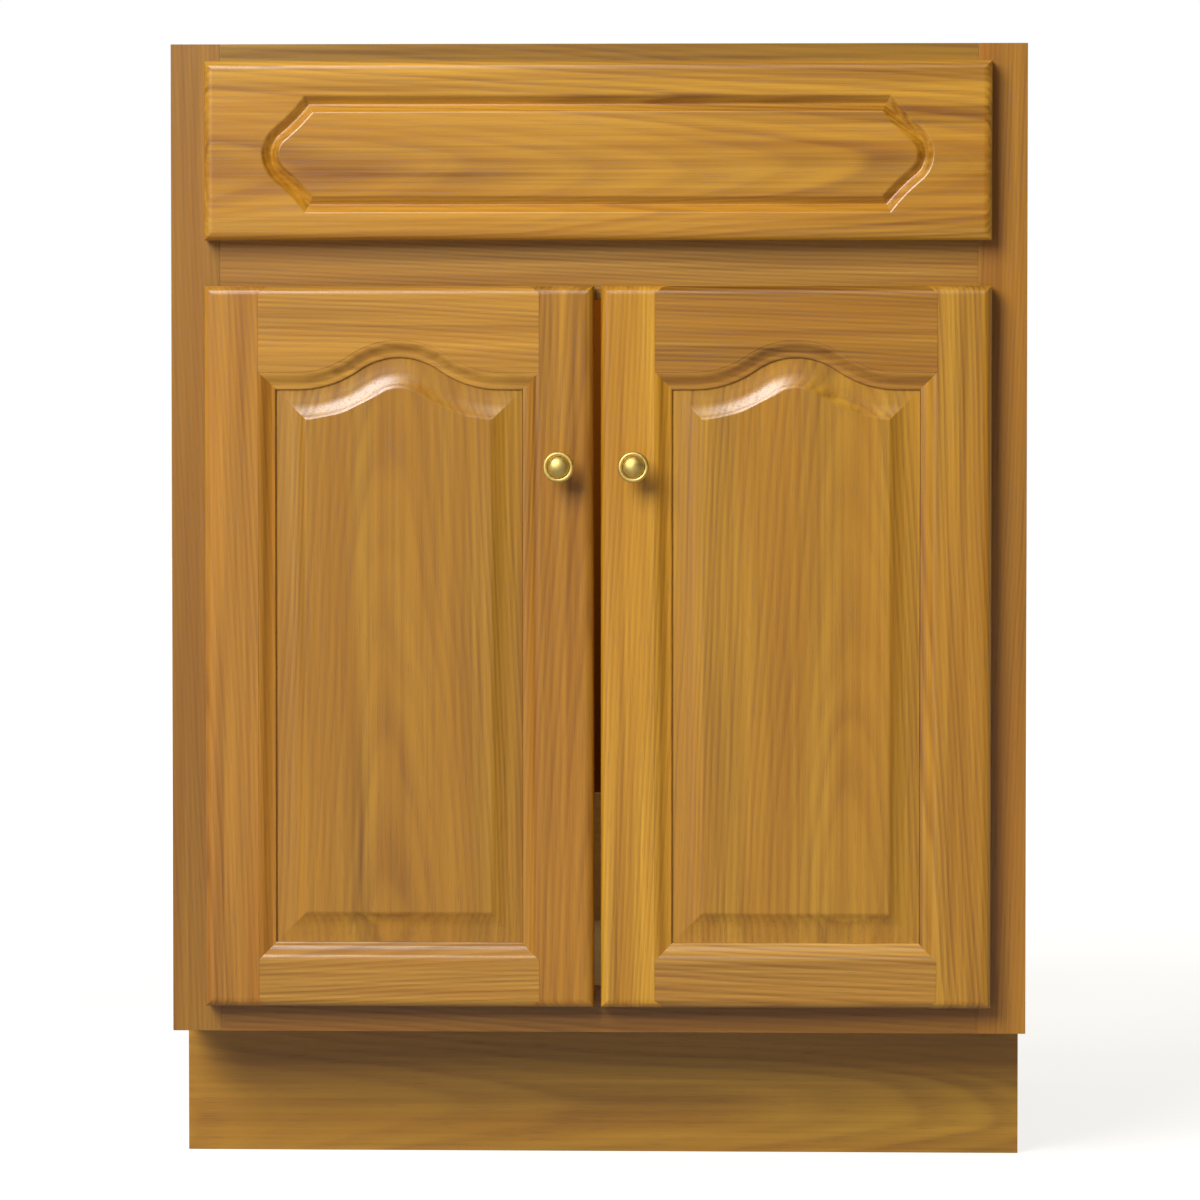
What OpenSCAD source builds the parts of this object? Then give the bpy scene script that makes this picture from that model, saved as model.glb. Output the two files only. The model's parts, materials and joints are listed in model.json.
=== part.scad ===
// Vanity base cabinet with a fixed false front and two arched raised-panel doors.
// Millimetres. X runs to the right, the front faces -Y and Z is up from the floor.
// The origin is on the floor, in the middle of the whole cabinet with its knobs.

/* [Case] */
// Width over the face frame
frame_w = 609.6; // [533.4:0.1:762]
// Height from the floor to the rim that carries the countertop
overall_h = 800.1; // [774.7:0.1:876.3]
// Depth from the front of the face frame to the back of the case
case_depth = 533.4; // [457.2:0.1:609.6]
// Thickness of the side, bottom and rail boards
board_t = 12.7; // [12:0.1:16]
// How far the side panels stand in from the edges of the face frame
side_inset = 3.2; // [2:0.1:6]
// Depth of the slots that the side panels have for the bottom panel
dado_depth = 4; // [3:0.1:6]
// Height of the two rails across the open back
back_rail_h = 101.6; // [76:0.1:130]

/* [Toe space] */
// Height of the toe space under the face frame
toe_h = 95.25; // [88:0.05:104]
// How far the toe kick stands behind the face frame
toe_recess = 76.2; // [60:0.1:90]
// Thickness of the oak toe kick board
toe_kick_t = 6.35; // [5:0.05:9]

/* [Face frame] */
// Thickness of the stiles and rails
frame_t = 19; // [18:0.1:22]
// Width of the face frame's stiles
stile_w = 35; // [34:0.1:45]
// Height of the top rail
top_rail_h = 38.1; // [34:0.1:45]
// Height of the bottom rail
bottom_rail_h = 31.75; // [28:0.05:36]
// Depth of the groove that takes the front edge of a side panel
side_groove_depth = 6; // [4:0.1:7]
// Length of the tenons on the rails
tenon_length = 12; // [9:0.1:14]
// Thickness of the tenons
tenon_t = 9.5; // [8:0.1:10]
// Height of the shoulders above and below a tenon
tenon_shoulder = 6; // [4:0.1:8]

/* [Fronts] */
// How far the doors and the false front lap over the stiles
side_lap = 9.7; // [8.5:0.1:11]
// How far they lap over the middle rail
rail_lap = 9.5; // [8.5:0.1:12]
// Face frame that shows above the false front
front_margin = 12.7; // [10:0.1:18]
// Height of the false front
front_h = 127; // [118:0.1:132]
// Face frame that shows between the false front and the doors
front_to_doors = 32.4; // [26:0.1:38]
// Face frame that shows below the doors
door_margin = 19.75; // [16:0.05:22]
// Thickness of the doors and the false front
door_t = 19; // [18.5:0.1:21]
// Gap between the two doors
meeting_gap = 5; // [3:0.1:7]
// Gap between the closed doors and the face frame
door_gap = 3; // [2.8:0.1:4]
// How far the rounded outer edges reach in over the face
edge_reach = 6.5; // [4:0.1:8]
// How far they drop down the edge
edge_drop = 5.5; // [4:0.1:7]

/* [Door frame] */
// Flat face of the door stiles
door_stile_flat = 38.6; // [38:0.1:48]
// Flat face of the arched top rail, at its ends
top_rail_flat = 61.2; // [56:0.1:72]
// Flat face of the bottom rail
bottom_rail_flat = 33.8; // [30:0.1:46]
// Width of the moulded inner edge
sticking_w = 12.4; // [11.5:0.1:13]
// How far the moulded edge drops to its nose
sticking_drop = 6; // [5.8:0.1:6.4]
// Depth from the door's face to the panel groove
groove_front = 7; // [6.8:0.1:7.6]
// Thickness of the panel groove
groove_t = 6; // [5:0.1:6.4]
// Depth of the panel groove
groove_depth = 9.5; // [8:0.1:10]

/* [Arch] */
// Half the width of the arch in the top rail
arch_half = 72; // [64:0.1:78]
// How far the arch rises
arch_rise = 22.8; // [14:0.1:26]
// Share of the arch that its crown takes, the rest being the two valleys
crown_share = 0.49; // [0.44:0.01:0.56]

/* [Raised panel] */
// How deep the panel's tongue sits in the groove
tongue_reach = 8; // [6:0.1:8.4]
// How far the raised field stands behind the door's face
field_depth = 2.2; // [1.8:0.1:2.8]
// Flat margin round the raised field
margin_w = 7.6; // [6:0.1:9]
// Radius of the hollow that climbs from the margin
cove_r = 17; // [15:0.1:18]
// Radius of the round on to the field
field_roll_r = 11.5; // [10:0.1:12.5]

/* [False front groove] */
// Length of the routed outline, along the middle of its groove
outline_w = 464.4; // [380:0.1:480]
// Height of the routed outline
outline_h = 71; // [62:0.1:80]
// Radius of the outline's round ends
outline_end_r = 18.7; // [14:0.1:21]
// How far the outline sits below the middle of the false front
outline_down = 2.5; // [0:0.1:4]
// Width of the routed groove
routed_w = 13.5; // [8:0.1:14]
// Depth of the routed groove
routed_depth = 5; // [2.5:0.1:5.5]

/* [Knobs] */
// Diameter of the knob
knob_d = 22.2; // [20:0.1:26]
// How far a knob stands out from the door
knob_out = 24; // [22:0.1:28]
// Distance of the knob from the meeting edge
knob_in = 24; // [18:0.1:27]
// Distance of the knob below the top of the door
knob_down = 128; // [110:0.1:200]
// Radius of the screw that holds the knob
knob_screw_r = 2; // [1.6:0.1:2.4]

/* [Hinges] */
// Distance of each hinge from the top or bottom of the door
hinge_from_end = 90; // [70:0.1:120]
// Radius of the hinge cup
cup_r = 17.5; // [17.2:0.1:17.8]
// Depth of the hinge cup
cup_depth = 12.5; // [12:0.1:13]
// Wood left between the cup and the edge of the door
cup_edge = 3; // [2.6:0.1:3.4]
// Distance of the pivot from the edge of the door
pivot_in = 7.2; // [7:0.1:7.4]
// Distance of the pivot in front of the back of the door
pivot_deep = 8.5; // [8.2:0.1:8.8]
// Radius of the hinge pin
pin_r = 1.1; // [0.9:0.05:1.2]
// Thickness of the hinge arm
arm_t = 1.8; // [1.5:0.1:2]
// Width of the hinge arm
arm_h = 10; // [8:0.1:11]
// How far the arm reaches in before it turns out of the cup
arm_reach = 13.2; // [12.4:0.1:15]
// Thickness of the plate that holds the arm to the face frame
plate_t = 2; // [1.5:0.1:2.5]
// Height of that plate
plate_h = 46; // [40:0.1:56]

/* [Fixings] */
// Leg length of the triangular corner braces
brace_leg = 70; // [62:0.1:90]
// Thickness of the corner braces
brace_t = 19; // [16:0.1:24]
// Radius of the holes that take the countertop screws
countertop_hole_r = 2.6; // [2:0.1:3.5]
// Radius of the wood screws
screw_r = 1.9; // [1.5:0.1:2.2]
// Width of the cleats that carry the false front
cleat_w = 50; // [40:0.1:70]
// Distance of the cleats from the middle of the cabinet
cleat_x = 140; // [90:0.1:160]
// Radius of the dowels in the case rails
dowel_r = 3; // [2.5:0.1:3.5]
// Radius of the door bumpers
bumper_r = 4; // [3:0.1:4.2]

/* [Hidden] */
$fn = 48;
// Clearances of the fits
glue_play = 0.1;
bore_play = 0.05;
pin_play = 0.06;
tongue_play = 0.1;
tongue_end_gap = 0.4;
bumper_gap = 0.3;
hole_end_gap = 0.5;
// How far a cutting shape runs past what it cuts
past = 1;

// Places along the width
half_w = frame_w / 2;
stile_in_x = half_w - stile_w;
side_out_x = half_w - side_inset;
side_in_x = side_out_x - board_t;
front_w = 2 * (stile_in_x + side_lap);
door_w = (front_w - meeting_gap) / 2;

// Places along the depth
overall_d = knob_out + door_t + door_gap + case_depth;
frame_y = knob_out + door_t + door_gap - overall_d / 2;
frame_back_y = frame_y + frame_t;
case_back_y = frame_y + case_depth;
door_y = frame_y - door_gap - door_t;
toe_kick_y = frame_y + toe_recess;
toe_rail_y = toe_kick_y + toe_kick_t;
back_rail_y = case_back_y - board_t;

// Places along the height
front_top = overall_h - front_margin;
front_bottom = front_top - front_h;
door_top = front_bottom - front_to_doors;
door_bottom = toe_h + door_margin;
door_h = door_top - door_bottom;
top_rail_z = overall_h - top_rail_h;
mid_rail_z = door_top - rail_lap;
mid_rail_h = front_bottom + rail_lap - mid_rail_z;
deck_z = toe_h + bottom_rail_h;
deck_bottom_z = deck_z - board_t;

// Moulded edge of the door frame: a quirk, a round into a hollow, a flat fillet and a rounded nose
quirk_drop = 0.35;
quirk_w = 0.15;
fillet_w = 0.4;
nose_w = 2.6;
sticking_roll_r = 6;
sticking_angle = 42;
sticking_end_angle = 20;
sticking_hollow_r = (sticking_w - quirk_w - fillet_w - nose_w - sticking_roll_r * sin(sticking_angle))
    / (sin(sticking_angle) - sin(sticking_end_angle));
fillet_drop = quirk_drop + sticking_roll_r * (1 - cos(sticking_angle))
    + sticking_hollow_r * (cos(sticking_end_angle) - cos(sticking_angle));
nose_drop = sticking_drop - fillet_drop;
nose_steps = 3;
ogee_steps = 4;

// Arch of the top rail: two valleys and a crown that meet in one slope
arch_angle = 2 * atan(arch_rise / arch_half);
arch_radii = arch_half / sin(arch_angle);
crown_r = arch_radii * crown_share;
valley_r = arch_radii - crown_r;
arch_steps = 9;
arch_z = door_h - top_rail_flat;

// Raised panel
panel_front = groove_front + tongue_play;
panel_back = groove_front + groove_t - tongue_play;
tongue_edge = sticking_w - tongue_reach;
groove_bottom = door_stile_flat + sticking_w - groove_depth;
margin_rise = 0.8;
margin_end = sticking_w + margin_w;
margin_depth = panel_front - margin_rise;
panel_steps = 48;
field_climb = margin_depth - field_depth;
cove_angle = acos(1 - field_climb / (cove_r + field_roll_r));
field_edge = margin_end + (cove_r + field_roll_r) * sin(cove_angle);

// Routed outline of the false front: round ends, then bowed slopes to the corners
outline_end_angle = 51;
outline_bow_angle = 13;
outline_slope_angle = outline_end_angle - outline_bow_angle;
outline_bow_r = (outline_h / 2 - outline_end_r * sin(outline_end_angle))
    / (sin(outline_end_angle) - sin(outline_slope_angle));
outline_end_steps = 7;
outline_bow_steps = 4;
outline_end_x = outline_w / 2 - outline_end_r;
outline_bow_x = outline_end_x + (outline_end_r + outline_bow_r) * cos(outline_end_angle);
outline_bow_z = (outline_end_r + outline_bow_r) * sin(outline_end_angle);
routed_steps = 4;

// Hinges, measured from the door's edge and back
cup_x = cup_edge + cup_r;
cup_wall = 1;
cup_flange_t = 1;
cup_flange_w = 1.5;
cup_flange_r = cup_r + cup_flange_w;
cup_slot_play = 1.2;
cup_slot_h = arm_h + 2 * cup_slot_play;
cup_ear_w = 13;
cup_ear_half = 27.5;
cup_screw_in = 6;
cup_screw_z = 22.5;
cup_screw_r = 1.5;
cup_screw_l = 11;
knuckle_wall = 0.9;
knuckle_r = pin_r + knuckle_wall;
pin_half = sqrt(pow(cup_r, 2) - pow(cup_x - pivot_in + pin_r, 2)) - hole_end_gap;
arm_dip = 5;
arm_drop = arm_reach * tan(arm_dip);
arm_foot = 3.5;
plate_x = side_lap - pivot_in;
plate_front = 1.5;
plate_w = frame_t - 2 * plate_front;
plate_screw_z = 15;
plate_screw_l = 16;
hinge_z = [hinge_from_end, door_h - hinge_from_end];

// Screws, dowels, braces and cleats
screw_head_r = 2 * screw_r;
screw_head_h = 1.2 * screw_r;
screw_tip = 0.2;
screw_head_top = 0.7;
brace_hole_in = 22;
brace_screw_in = 42;
brace_seat = 12;
brace_screw_skin = 2.8;
brace_screw_l = brace_seat + board_t - brace_screw_skin;
brace_bore_play = 0.2;
brace_bore_r = screw_head_r + brace_bore_play;
cleat_lap = 30;
cleat_bottom = mid_rail_z + mid_rail_h - cleat_lap;
cleat_top = top_rail_z + cleat_lap;
cleat_bite = 14;
front_bite = 12;
front_screw_z = 25;
dowel_in_side = 8;
dowel_in_rail = 14;
dowel_shares = [0.25, 0.75];
case_rails = [
    [toe_rail_y, 0, deck_bottom_z],
    [back_rail_y, 0, deck_bottom_z],
    [back_rail_y, deck_z, back_rail_h],
    [back_rail_y, overall_h - back_rail_h, back_rail_h]
];

// Knobs: a foot on the door, a neck, a rolled rim and a domed face inside it
knob_r = knob_d / 2;
knob_foot_r = 6;
knob_foot_h = 1.2;
knob_neck_r = 3.7;
knob_neck_top = 9;
knob_flare_r = 4.6;
rim_r = 1.7;
rim_depth = 4.2;
rim_z = knob_out - rim_depth;
rim_start = -50;
rim_turn = 200;
rim_steps = 8;
dome_r = knob_r - 2 * rim_r;
dome_seat = 0.2;
dome_z = rim_z + dome_seat;
dome_steps = 5;
knob_head_r = 2.4 * knob_screw_r;
knob_head_h = 0.8 * knob_screw_r;
knob_thread = 12;

// Bumpers on the backs of the doors
bumper_in = 15;
bumper_taper = 0.85;
bumper_x = door_w - bumper_in;
bumper_z = [rail_lap / 2, door_h - rail_lap / 2];

oak = [0.75, 0.53, 0.27];
oak_light = [0.79, 0.58, 0.31];
oak_dark = [0.66, 0.44, 0.21];
birch = [0.83, 0.70, 0.50];
brass = [0.80, 0.64, 0.33];
steel = [0.72, 0.73, 0.74];
clear_rubber = [0.86, 0.86, 0.83];

// Profiles. A point is [distance in from an edge, depth behind the face].

// Waste outside the rounded outer edge of a door or front
function edge_waste(steps = 6) = concat(
    [[-past, -past], [edge_reach, -past]],
    [for (i = [0 : steps]) let(a = 90 * i / steps)
        [edge_reach * (1 - sin(a)), edge_drop * (1 - cos(a))]],
    [[-past, edge_drop]]
);

// Curve that leaves a flat with one radius and comes back towards flat, lower down, with another
function ogee(out_r, in_r, angle, end_angle) = concat(
    [for (i = [0 : ogee_steps]) let(a = angle * i / ogee_steps) [out_r * sin(a), out_r * (1 - cos(a))]],
    [for (i = [1 : ogee_steps]) let(a = angle - (angle - end_angle) * i / ogee_steps)
        [(out_r + in_r) * sin(angle) - in_r * sin(a), out_r * (1 - cos(angle)) + in_r * (cos(a) - cos(angle))]]
);

// Moulded inner edge of the door frame: quirk, ogee, fillet and nose
function sticking() = concat(
    [[0, quirk_drop]],
    [for (p = ogee(sticking_roll_r, sticking_hollow_r, sticking_angle, sticking_end_angle))
        [quirk_w + p[0], quirk_drop + p[1]]],
    [for (i = [0 : nose_steps]) let(a = 90 * i / nose_steps)
        [sticking_w - nose_w * (1 - sin(a)), fillet_drop + nose_drop * (1 - cos(a))]]
);
function sticking_waste() = concat(
    [[sticking_w + past, -past], [sticking_w + past, sticking_drop]],
    reversed(sticking()),
    [[0, -past]]
);

// Section of a door stile grown outwards by a distance, with its panel groove cut in to x
function stile_section(grown, groove_x) = let(nose_x = door_stile_flat + sticking_w) concat(
    [[-grown, -grown], [door_stile_flat, -grown]],
    [for (p = sticking()) [door_stile_flat + p[0], p[1]]],
    [
        [nose_x, groove_front], [groove_x, groove_front],
        [groove_x, groove_front + groove_t], [nose_x, groove_front + groove_t],
        [nose_x, door_t + grown], [-grown, door_t + grown]
    ]
);

// Outside of the raised panel, from the back of its tongue over the margin and the ogee to the field
function raising() = concat(
    [[tongue_edge, panel_back], [tongue_edge, panel_front], [sticking_w, panel_front]],
    [for (p = ogee(cove_r, field_roll_r, cove_angle, 0)) [margin_end + p[0], margin_depth - p[1]]]
);

// Section of the routed groove, an ogee on each side of its bottom
function routed_section() = concat(
    [[-routed_w / 2, -past], [routed_w / 2, -past]],
    [for (i = [routed_steps : -1 : -routed_steps]) let(share = i / routed_steps)
        [share * routed_w / 2, routed_depth * (1 + cos(180 * share)) / 2]]
);

// Stations of a sweep. A station is [x, z, x of its normal, z of its normal].

function mirrored(s) = [-s[0], s[1], -s[2], s[3]];
function reversed(list) = [for (i = [len(list) - 1 : -1 : 0]) list[i]];

// Left half of the arch, from its end to just short of the middle
function half_arch(reach) = concat(
    [[-reach, 0, 0, -1]],
    [for (i = [0 : arch_steps]) let(a = arch_angle * i / arch_steps)
        [valley_r * sin(a) - arch_half, valley_r * (1 - cos(a)), sin(a), -cos(a)]],
    [for (i = [1 : arch_steps - 1]) let(a = arch_angle * (1 - i / arch_steps))
        [-crown_r * sin(a), arch_rise - crown_r * (1 - cos(a)), sin(a), -cos(a)]]
);
function arch_stations(reach) = concat(
    half_arch(reach),
    [[0, arch_rise, 0, -1]],
    reversed([for (s = half_arch(reach)) mirrored(s)])
);
// Arch as a line set off by a distance from the rail's flat face: its points, or its height at x
function arch_points(reach, off) = [for (s = arch_stations(reach)) [s[0] + off * s[2], s[1] + off * s[3]]];

function arch_at(x, off) = abs(x) >= arch_half ? -off
    : abs(x) >= (crown_r - off) * sin(arch_angle)
    ? valley_r - sqrt(pow(valley_r + off, 2) - pow(arch_half - abs(x), 2))
    : arch_rise - crown_r + sqrt(pow(crown_r - off, 2) - x * x);

// Outline of the raised panel at a distance in from the flat faces round it
function panel_ring(off) = let(w = door_w / 2 - door_stile_flat - off) concat(
    [[-w, bottom_rail_flat + off - arch_z]],
    [for (i = [0 : panel_steps]) let(x = w * (2 * i / panel_steps - 1)) [x, arch_at(x, off)]],
    [[w, bottom_rail_flat + off - arch_z]]
);

// Normal that mitres two runs whose own normals are a and b
function mitre(a, b) = (a + b) / (1 + a * b);

// Upper right quarter of the routed outline, from the end towards the corner
function outline_quarter() = concat(
    [for (i = [1 : outline_end_steps]) let(a = outline_end_angle * i / outline_end_steps)
        [outline_end_x + outline_end_r * cos(a), outline_end_r * sin(a), cos(a), sin(a)]],
    [for (i = [1 : outline_bow_steps])
        let(a = outline_end_angle - outline_bow_angle * i / outline_bow_steps,
            last = i == outline_bow_steps,
            n = last ? mitre([cos(a), sin(a)], [0, 1]) : [cos(a), sin(a)])
        [outline_bow_x - outline_bow_r * cos(a), outline_bow_z - outline_bow_r * sin(a), n[0], n[1]]]
);
function flipped(s) = [s[0], -s[1], s[2], -s[3]];
function outline_stations() = let(q = outline_quarter(), tip = [outline_w / 2, 0, 1, 0]) concat(
    [tip], q,
    reversed([for (s = q) mirrored(s)]), [mirrored(tip)],
    [for (s = q) flipped(mirrored(s))],
    reversed([for (s = q) flipped(s)])
);

// Sweeps a profile through its stations. The first point of the profile sees all the others.
module swept(profile, stations, closed = false) {
    n = len(profile);
    m = len(stations);
    runs = closed ? m : m - 1;
    points = [for (s = stations) for (p = profile) [s[0] + p[0] * s[2], p[1], s[1] + p[0] * s[3]]];
    sides = [for (i = [0 : runs - 1]) for (j = [0 : n - 1]) let(k = (i + 1) % m, l = (j + 1) % n)
        [i * n + j, k * n + j, k * n + l, i * n + l]];
    first_cap = [for (j = [0 : n - 1]) j];
    last_cap = concat([(m - 1) * n], [for (j = [n - 1 : -1 : 1]) (m - 1) * n + j]);
    polyhedron(points, closed ? sides : concat(sides, [first_cap, last_cap]));
}

// A profile run up a member whose edge is at x, facing to the right or, with side -1, to the left
module run_up(profile, x, length, side = 1)
    translate([x, 0, -past])
        linear_extrude(length + 2 * past)
            polygon([for (p = profile) [side * p[0], p[1]]]);

// A profile run along a member whose edge is at z, facing up or, with side -1, down
module run_across(profile, z, length, side = 1)
    translate([-past, 0, z])
        rotate([90, 0, 90])
            linear_extrude(length + 2 * past)
                polygon([for (p = profile) [p[1], side * p[0]]]);

// A screw whose head sits on z = 0 and whose shank runs down
module screw(length, r, head_r, head_h) {
    translate([0, 0, -length]) cylinder(h = 2 * r, r1 = screw_tip * r, r2 = r);
    translate([0, 0, 2 * r - length]) cylinder(h = length - 2 * r, r = r);
    cylinder(h = head_h, r1 = head_r, r2 = screw_head_top * head_r);
}

module screw_hole(length, r) translate([0, 0, -length - hole_end_gap])
    cylinder(h = length + hole_end_gap + past, r = r + bore_play);

// The screw's head faces the back of the cabinet, or the opening beside the left stile
module head_to_back() rotate([-90, 0, 0]) children();
module head_to_right() rotate([0, 90, 0]) children();
module at_right() mirror([1, 0, 0]) children();
module both_sides() for (side = [0, 1]) mirror([side, 0, 0]) children();

// Face frame

module mortise(z, h) translate([-stile_in_x - tenon_length - tongue_end_gap,
        frame_y + (frame_t - tenon_t) / 2 - glue_play, z + tenon_shoulder - glue_play])
    cube([tenon_length + tongue_end_gap + past, tenon_t + 2 * glue_play,
        h - 2 * tenon_shoulder + 2 * glue_play]);

module frame_stile() difference() {
    translate([-half_w, frame_y, toe_h]) cube([stile_w, frame_t, overall_h - toe_h]);
    translate([-side_out_x - glue_play, frame_back_y - side_groove_depth - glue_play, toe_h - past])
        cube([board_t + 2 * glue_play, side_groove_depth + glue_play + past, overall_h - toe_h + 2 * past]);
    mortise(top_rail_z, top_rail_h);
    mortise(mid_rail_z, mid_rail_h);
    mortise(toe_h, bottom_rail_h);
    plate_screw_places() screw_hole(plate_screw_l, screw_r);
}

module frame_rail(z, h) {
    translate([-stile_in_x, frame_y, z]) cube([2 * stile_in_x, frame_t, h]);
    translate([-stile_in_x - tenon_length, frame_y + (frame_t - tenon_t) / 2, z + tenon_shoulder])
        cube([2 * (stile_in_x + tenon_length), tenon_t, h - 2 * tenon_shoulder]);
}

module left_frame_stile() color(oak) frame_stile();
module right_frame_stile() color(oak) at_right() frame_stile();

module top_frame_rail() color(oak_light) difference() {
    frame_rail(top_rail_z, top_rail_h);
    cleat_screw_places() screw_hole(board_t + cleat_bite, screw_r);
    both_sides() brace_screw_into_front() screw_hole(brace_screw_l, screw_r);
}

module middle_frame_rail() color(oak) difference() {
    frame_rail(mid_rail_z, mid_rail_h);
    cleat_screw_places() screw_hole(board_t + cleat_bite, screw_r);
}

module bottom_frame_rail() color(oak_light) frame_rail(toe_h, bottom_rail_h);

// Case

module dowel_places(depth) for (r = case_rails, share = dowel_shares)
    translate([-side_in_x - depth, r[0] + board_t / 2, r[1] + share * r[2]]) head_to_right() children();

module dowel_holes() dowel_places(dowel_in_side + glue_play)
    cylinder(h = dowel_in_side + dowel_in_rail + 2 * glue_play, r = dowel_r + bore_play);

module side_panel() difference() {
    translate([-side_out_x, frame_back_y - side_groove_depth, 0])
        cube([board_t, case_depth - frame_t + side_groove_depth, overall_h]);
    translate([-side_out_x - past, frame_y - past, -past])
        cube([board_t + 2 * past, toe_rail_y - frame_y + past, toe_h + past]);
    translate([-side_in_x - dado_depth - glue_play, frame_y, deck_bottom_z - glue_play])
        cube([dado_depth + glue_play + past, case_depth + past, board_t + 2 * glue_play]);
    dowel_holes();
    brace_screw_into_side(front = true) screw_hole(brace_screw_l, screw_r);
    brace_screw_into_side(front = false) screw_hole(brace_screw_l, screw_r);
}

module case_rail(i) difference() {
    translate([-side_in_x, case_rails[i][0], case_rails[i][1]])
        cube([2 * side_in_x, board_t, case_rails[i][2]]);
    dowel_holes();
    at_right() dowel_holes();
}

module left_side_panel() color(oak) side_panel();
module right_side_panel() color(oak) at_right() side_panel();

module bottom_panel() color(birch)
    translate([-side_in_x - dado_depth, frame_back_y, deck_bottom_z])
        cube([2 * (side_in_x + dado_depth), case_depth - frame_t, board_t]);

module toe_kick_board() color(oak_dark)
    translate([-side_out_x, toe_kick_y, 0]) cube([2 * side_out_x, toe_kick_t, toe_h]);

module front_toe_rail() color(birch) case_rail(0);
module rear_toe_rail() color(birch) case_rail(1);
module lower_back_rail() color(birch) case_rail(2);

module upper_back_rail() color(birch) difference() {
    case_rail(3);
    both_sides() brace_screw_into_back() screw_hole(brace_screw_l, screw_r);
}

module rail_dowels() color(birch) both_sides()
    dowel_places(dowel_in_side) cylinder(h = dowel_in_side + dowel_in_rail, r = dowel_r);

// Corner braces, drawn in the front left corner with the rim as z = 0

module front_corner() translate([-side_in_x, frame_back_y, overall_h]) children();
module back_corner() translate([-side_in_x, back_rail_y, overall_h]) mirror([0, 1, 0]) children();
module along_side() translate([brace_seat, brace_screw_in, -brace_t / 2]) head_to_right() children();
module along_rail() translate([brace_screw_in, brace_seat, -brace_t / 2]) head_to_back() children();
module brace_screw_into_side(front) if (front) front_corner() along_side() children();
    else back_corner() along_side() children();
module brace_screw_into_front() front_corner() along_rail() children();
module brace_screw_into_back() back_corner() along_rail() children();

module brace() difference() {
    translate([0, 0, -brace_t]) linear_extrude(brace_t) polygon([[0, 0], [brace_leg, 0], [0, brace_leg]]);
    translate([brace_hole_in, brace_hole_in, -brace_t - past])
        cylinder(h = brace_t + 2 * past, r = countertop_hole_r);
    along_side() brace_bore();
    along_rail() brace_bore();
}

module brace_bore() {
    screw_hole(brace_screw_l, screw_r);
    cylinder(h = brace_leg, r = brace_bore_r);
}

module front_left_brace() color(birch) front_corner() brace();
module front_right_brace() color(birch) at_right() front_corner() brace();
module back_left_brace() color(birch) back_corner() brace();
module back_right_brace() color(birch) at_right() back_corner() brace();

module brace_screws() color(steel) both_sides() {
    front_corner() { along_side() brace_screw(); along_rail() brace_screw(); }
    back_corner() { along_side() brace_screw(); along_rail() brace_screw(); }
}

module brace_screw() screw(brace_screw_l, screw_r, screw_head_r, screw_head_h);

// False front, with its front face as y = 0

module in_front() translate([-front_w / 2, frame_y - door_t, front_bottom]) children();

module false_front() color(oak_light) difference() {
    in_front() difference() {
        cube([front_w, door_t, front_h]);
        run_up(edge_waste(), 0, front_h);
        run_up(edge_waste(), front_w, front_h, -1);
        run_across(edge_waste(), 0, front_w);
        run_across(edge_waste(), front_h, front_w, -1);
        translate([front_w / 2, 0, front_h / 2 - outline_down]) swept(routed_section(), outline_stations(), closed = true);
    }
    front_screw_places() screw_hole(board_t + frame_t + front_bite, screw_r);
}

module cleat_lines() for (side = [-1, 1])
    translate([side * cleat_x, frame_back_y + board_t, 0]) children();
module front_screw_places() cleat_lines() for (side = [-1, 1])
    translate([0, 0, (front_bottom + front_top) / 2 - outline_down + side * front_screw_z]) head_to_back()
        children();
module cleat_screw_places() cleat_lines() for (z = [cleat_bottom + cleat_lap / 2, cleat_top - cleat_lap / 2])
    translate([0, 0, z]) head_to_back() children();

module front_cleat(side) color(birch) difference() {
    translate([side * cleat_x - cleat_w / 2, frame_back_y, cleat_bottom])
        cube([cleat_w, board_t, cleat_top - cleat_bottom]);
    front_screw_places() screw_hole(board_t + past, screw_r);
    cleat_screw_places() screw_hole(board_t + past, screw_r);
}

module left_front_cleat() front_cleat(-1);
module right_front_cleat() front_cleat(1);
module false_front_screws() color(steel) front_screw_places()
    screw(board_t + frame_t + front_bite, screw_r, screw_head_r, screw_head_h);
module cleat_screws() color(steel) cleat_screw_places()
    screw(board_t + cleat_bite, screw_r, screw_head_r, screw_head_h);

// Doors, drawn as the left one: x from its hinge edge, y from its face, z from its bottom edge

module in_door() translate([-front_w / 2, door_y, door_bottom]) children();

module stile_blank() difference() {
    linear_extrude(door_h) polygon(stile_section(0, groove_bottom));
    run_up(edge_waste(), 0, door_h);
    run_across(edge_waste(), 0, door_w);
    run_across(edge_waste(), door_h, door_w, -1);
}

module other_edge() translate([door_w, 0, 0]) mirror([1, 0, 0]) children();

module hinge_stile() difference() {
    stile_blank();
    for (z = hinge_z) translate([cup_x, 0, z]) {
        translate([0, door_t - cup_depth - glue_play, 0]) head_to_back()
            cylinder(h = cup_depth + glue_play + past, r = cup_r + bore_play);
        cup_screw_places() screw_hole(cup_screw_l, cup_screw_r);
    }
}

module lock_stile() difference() {
    other_edge() stile_blank();
    translate([door_w - knob_in, -past, door_h - knob_down]) head_to_back()
        cylinder(h = door_t + 2 * past, r = knob_screw_r + glue_play);
}

// A rail is coped over the moulded edges of both stiles and tongued into their grooves
module coped() difference() {
    children();
    stile_room();
    other_edge() stile_room();
}

module stile_room() translate([0, 0, -past]) linear_extrude(door_h + 2 * past)
    polygon(stile_section(past, groove_bottom + tongue_end_gap));

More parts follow.
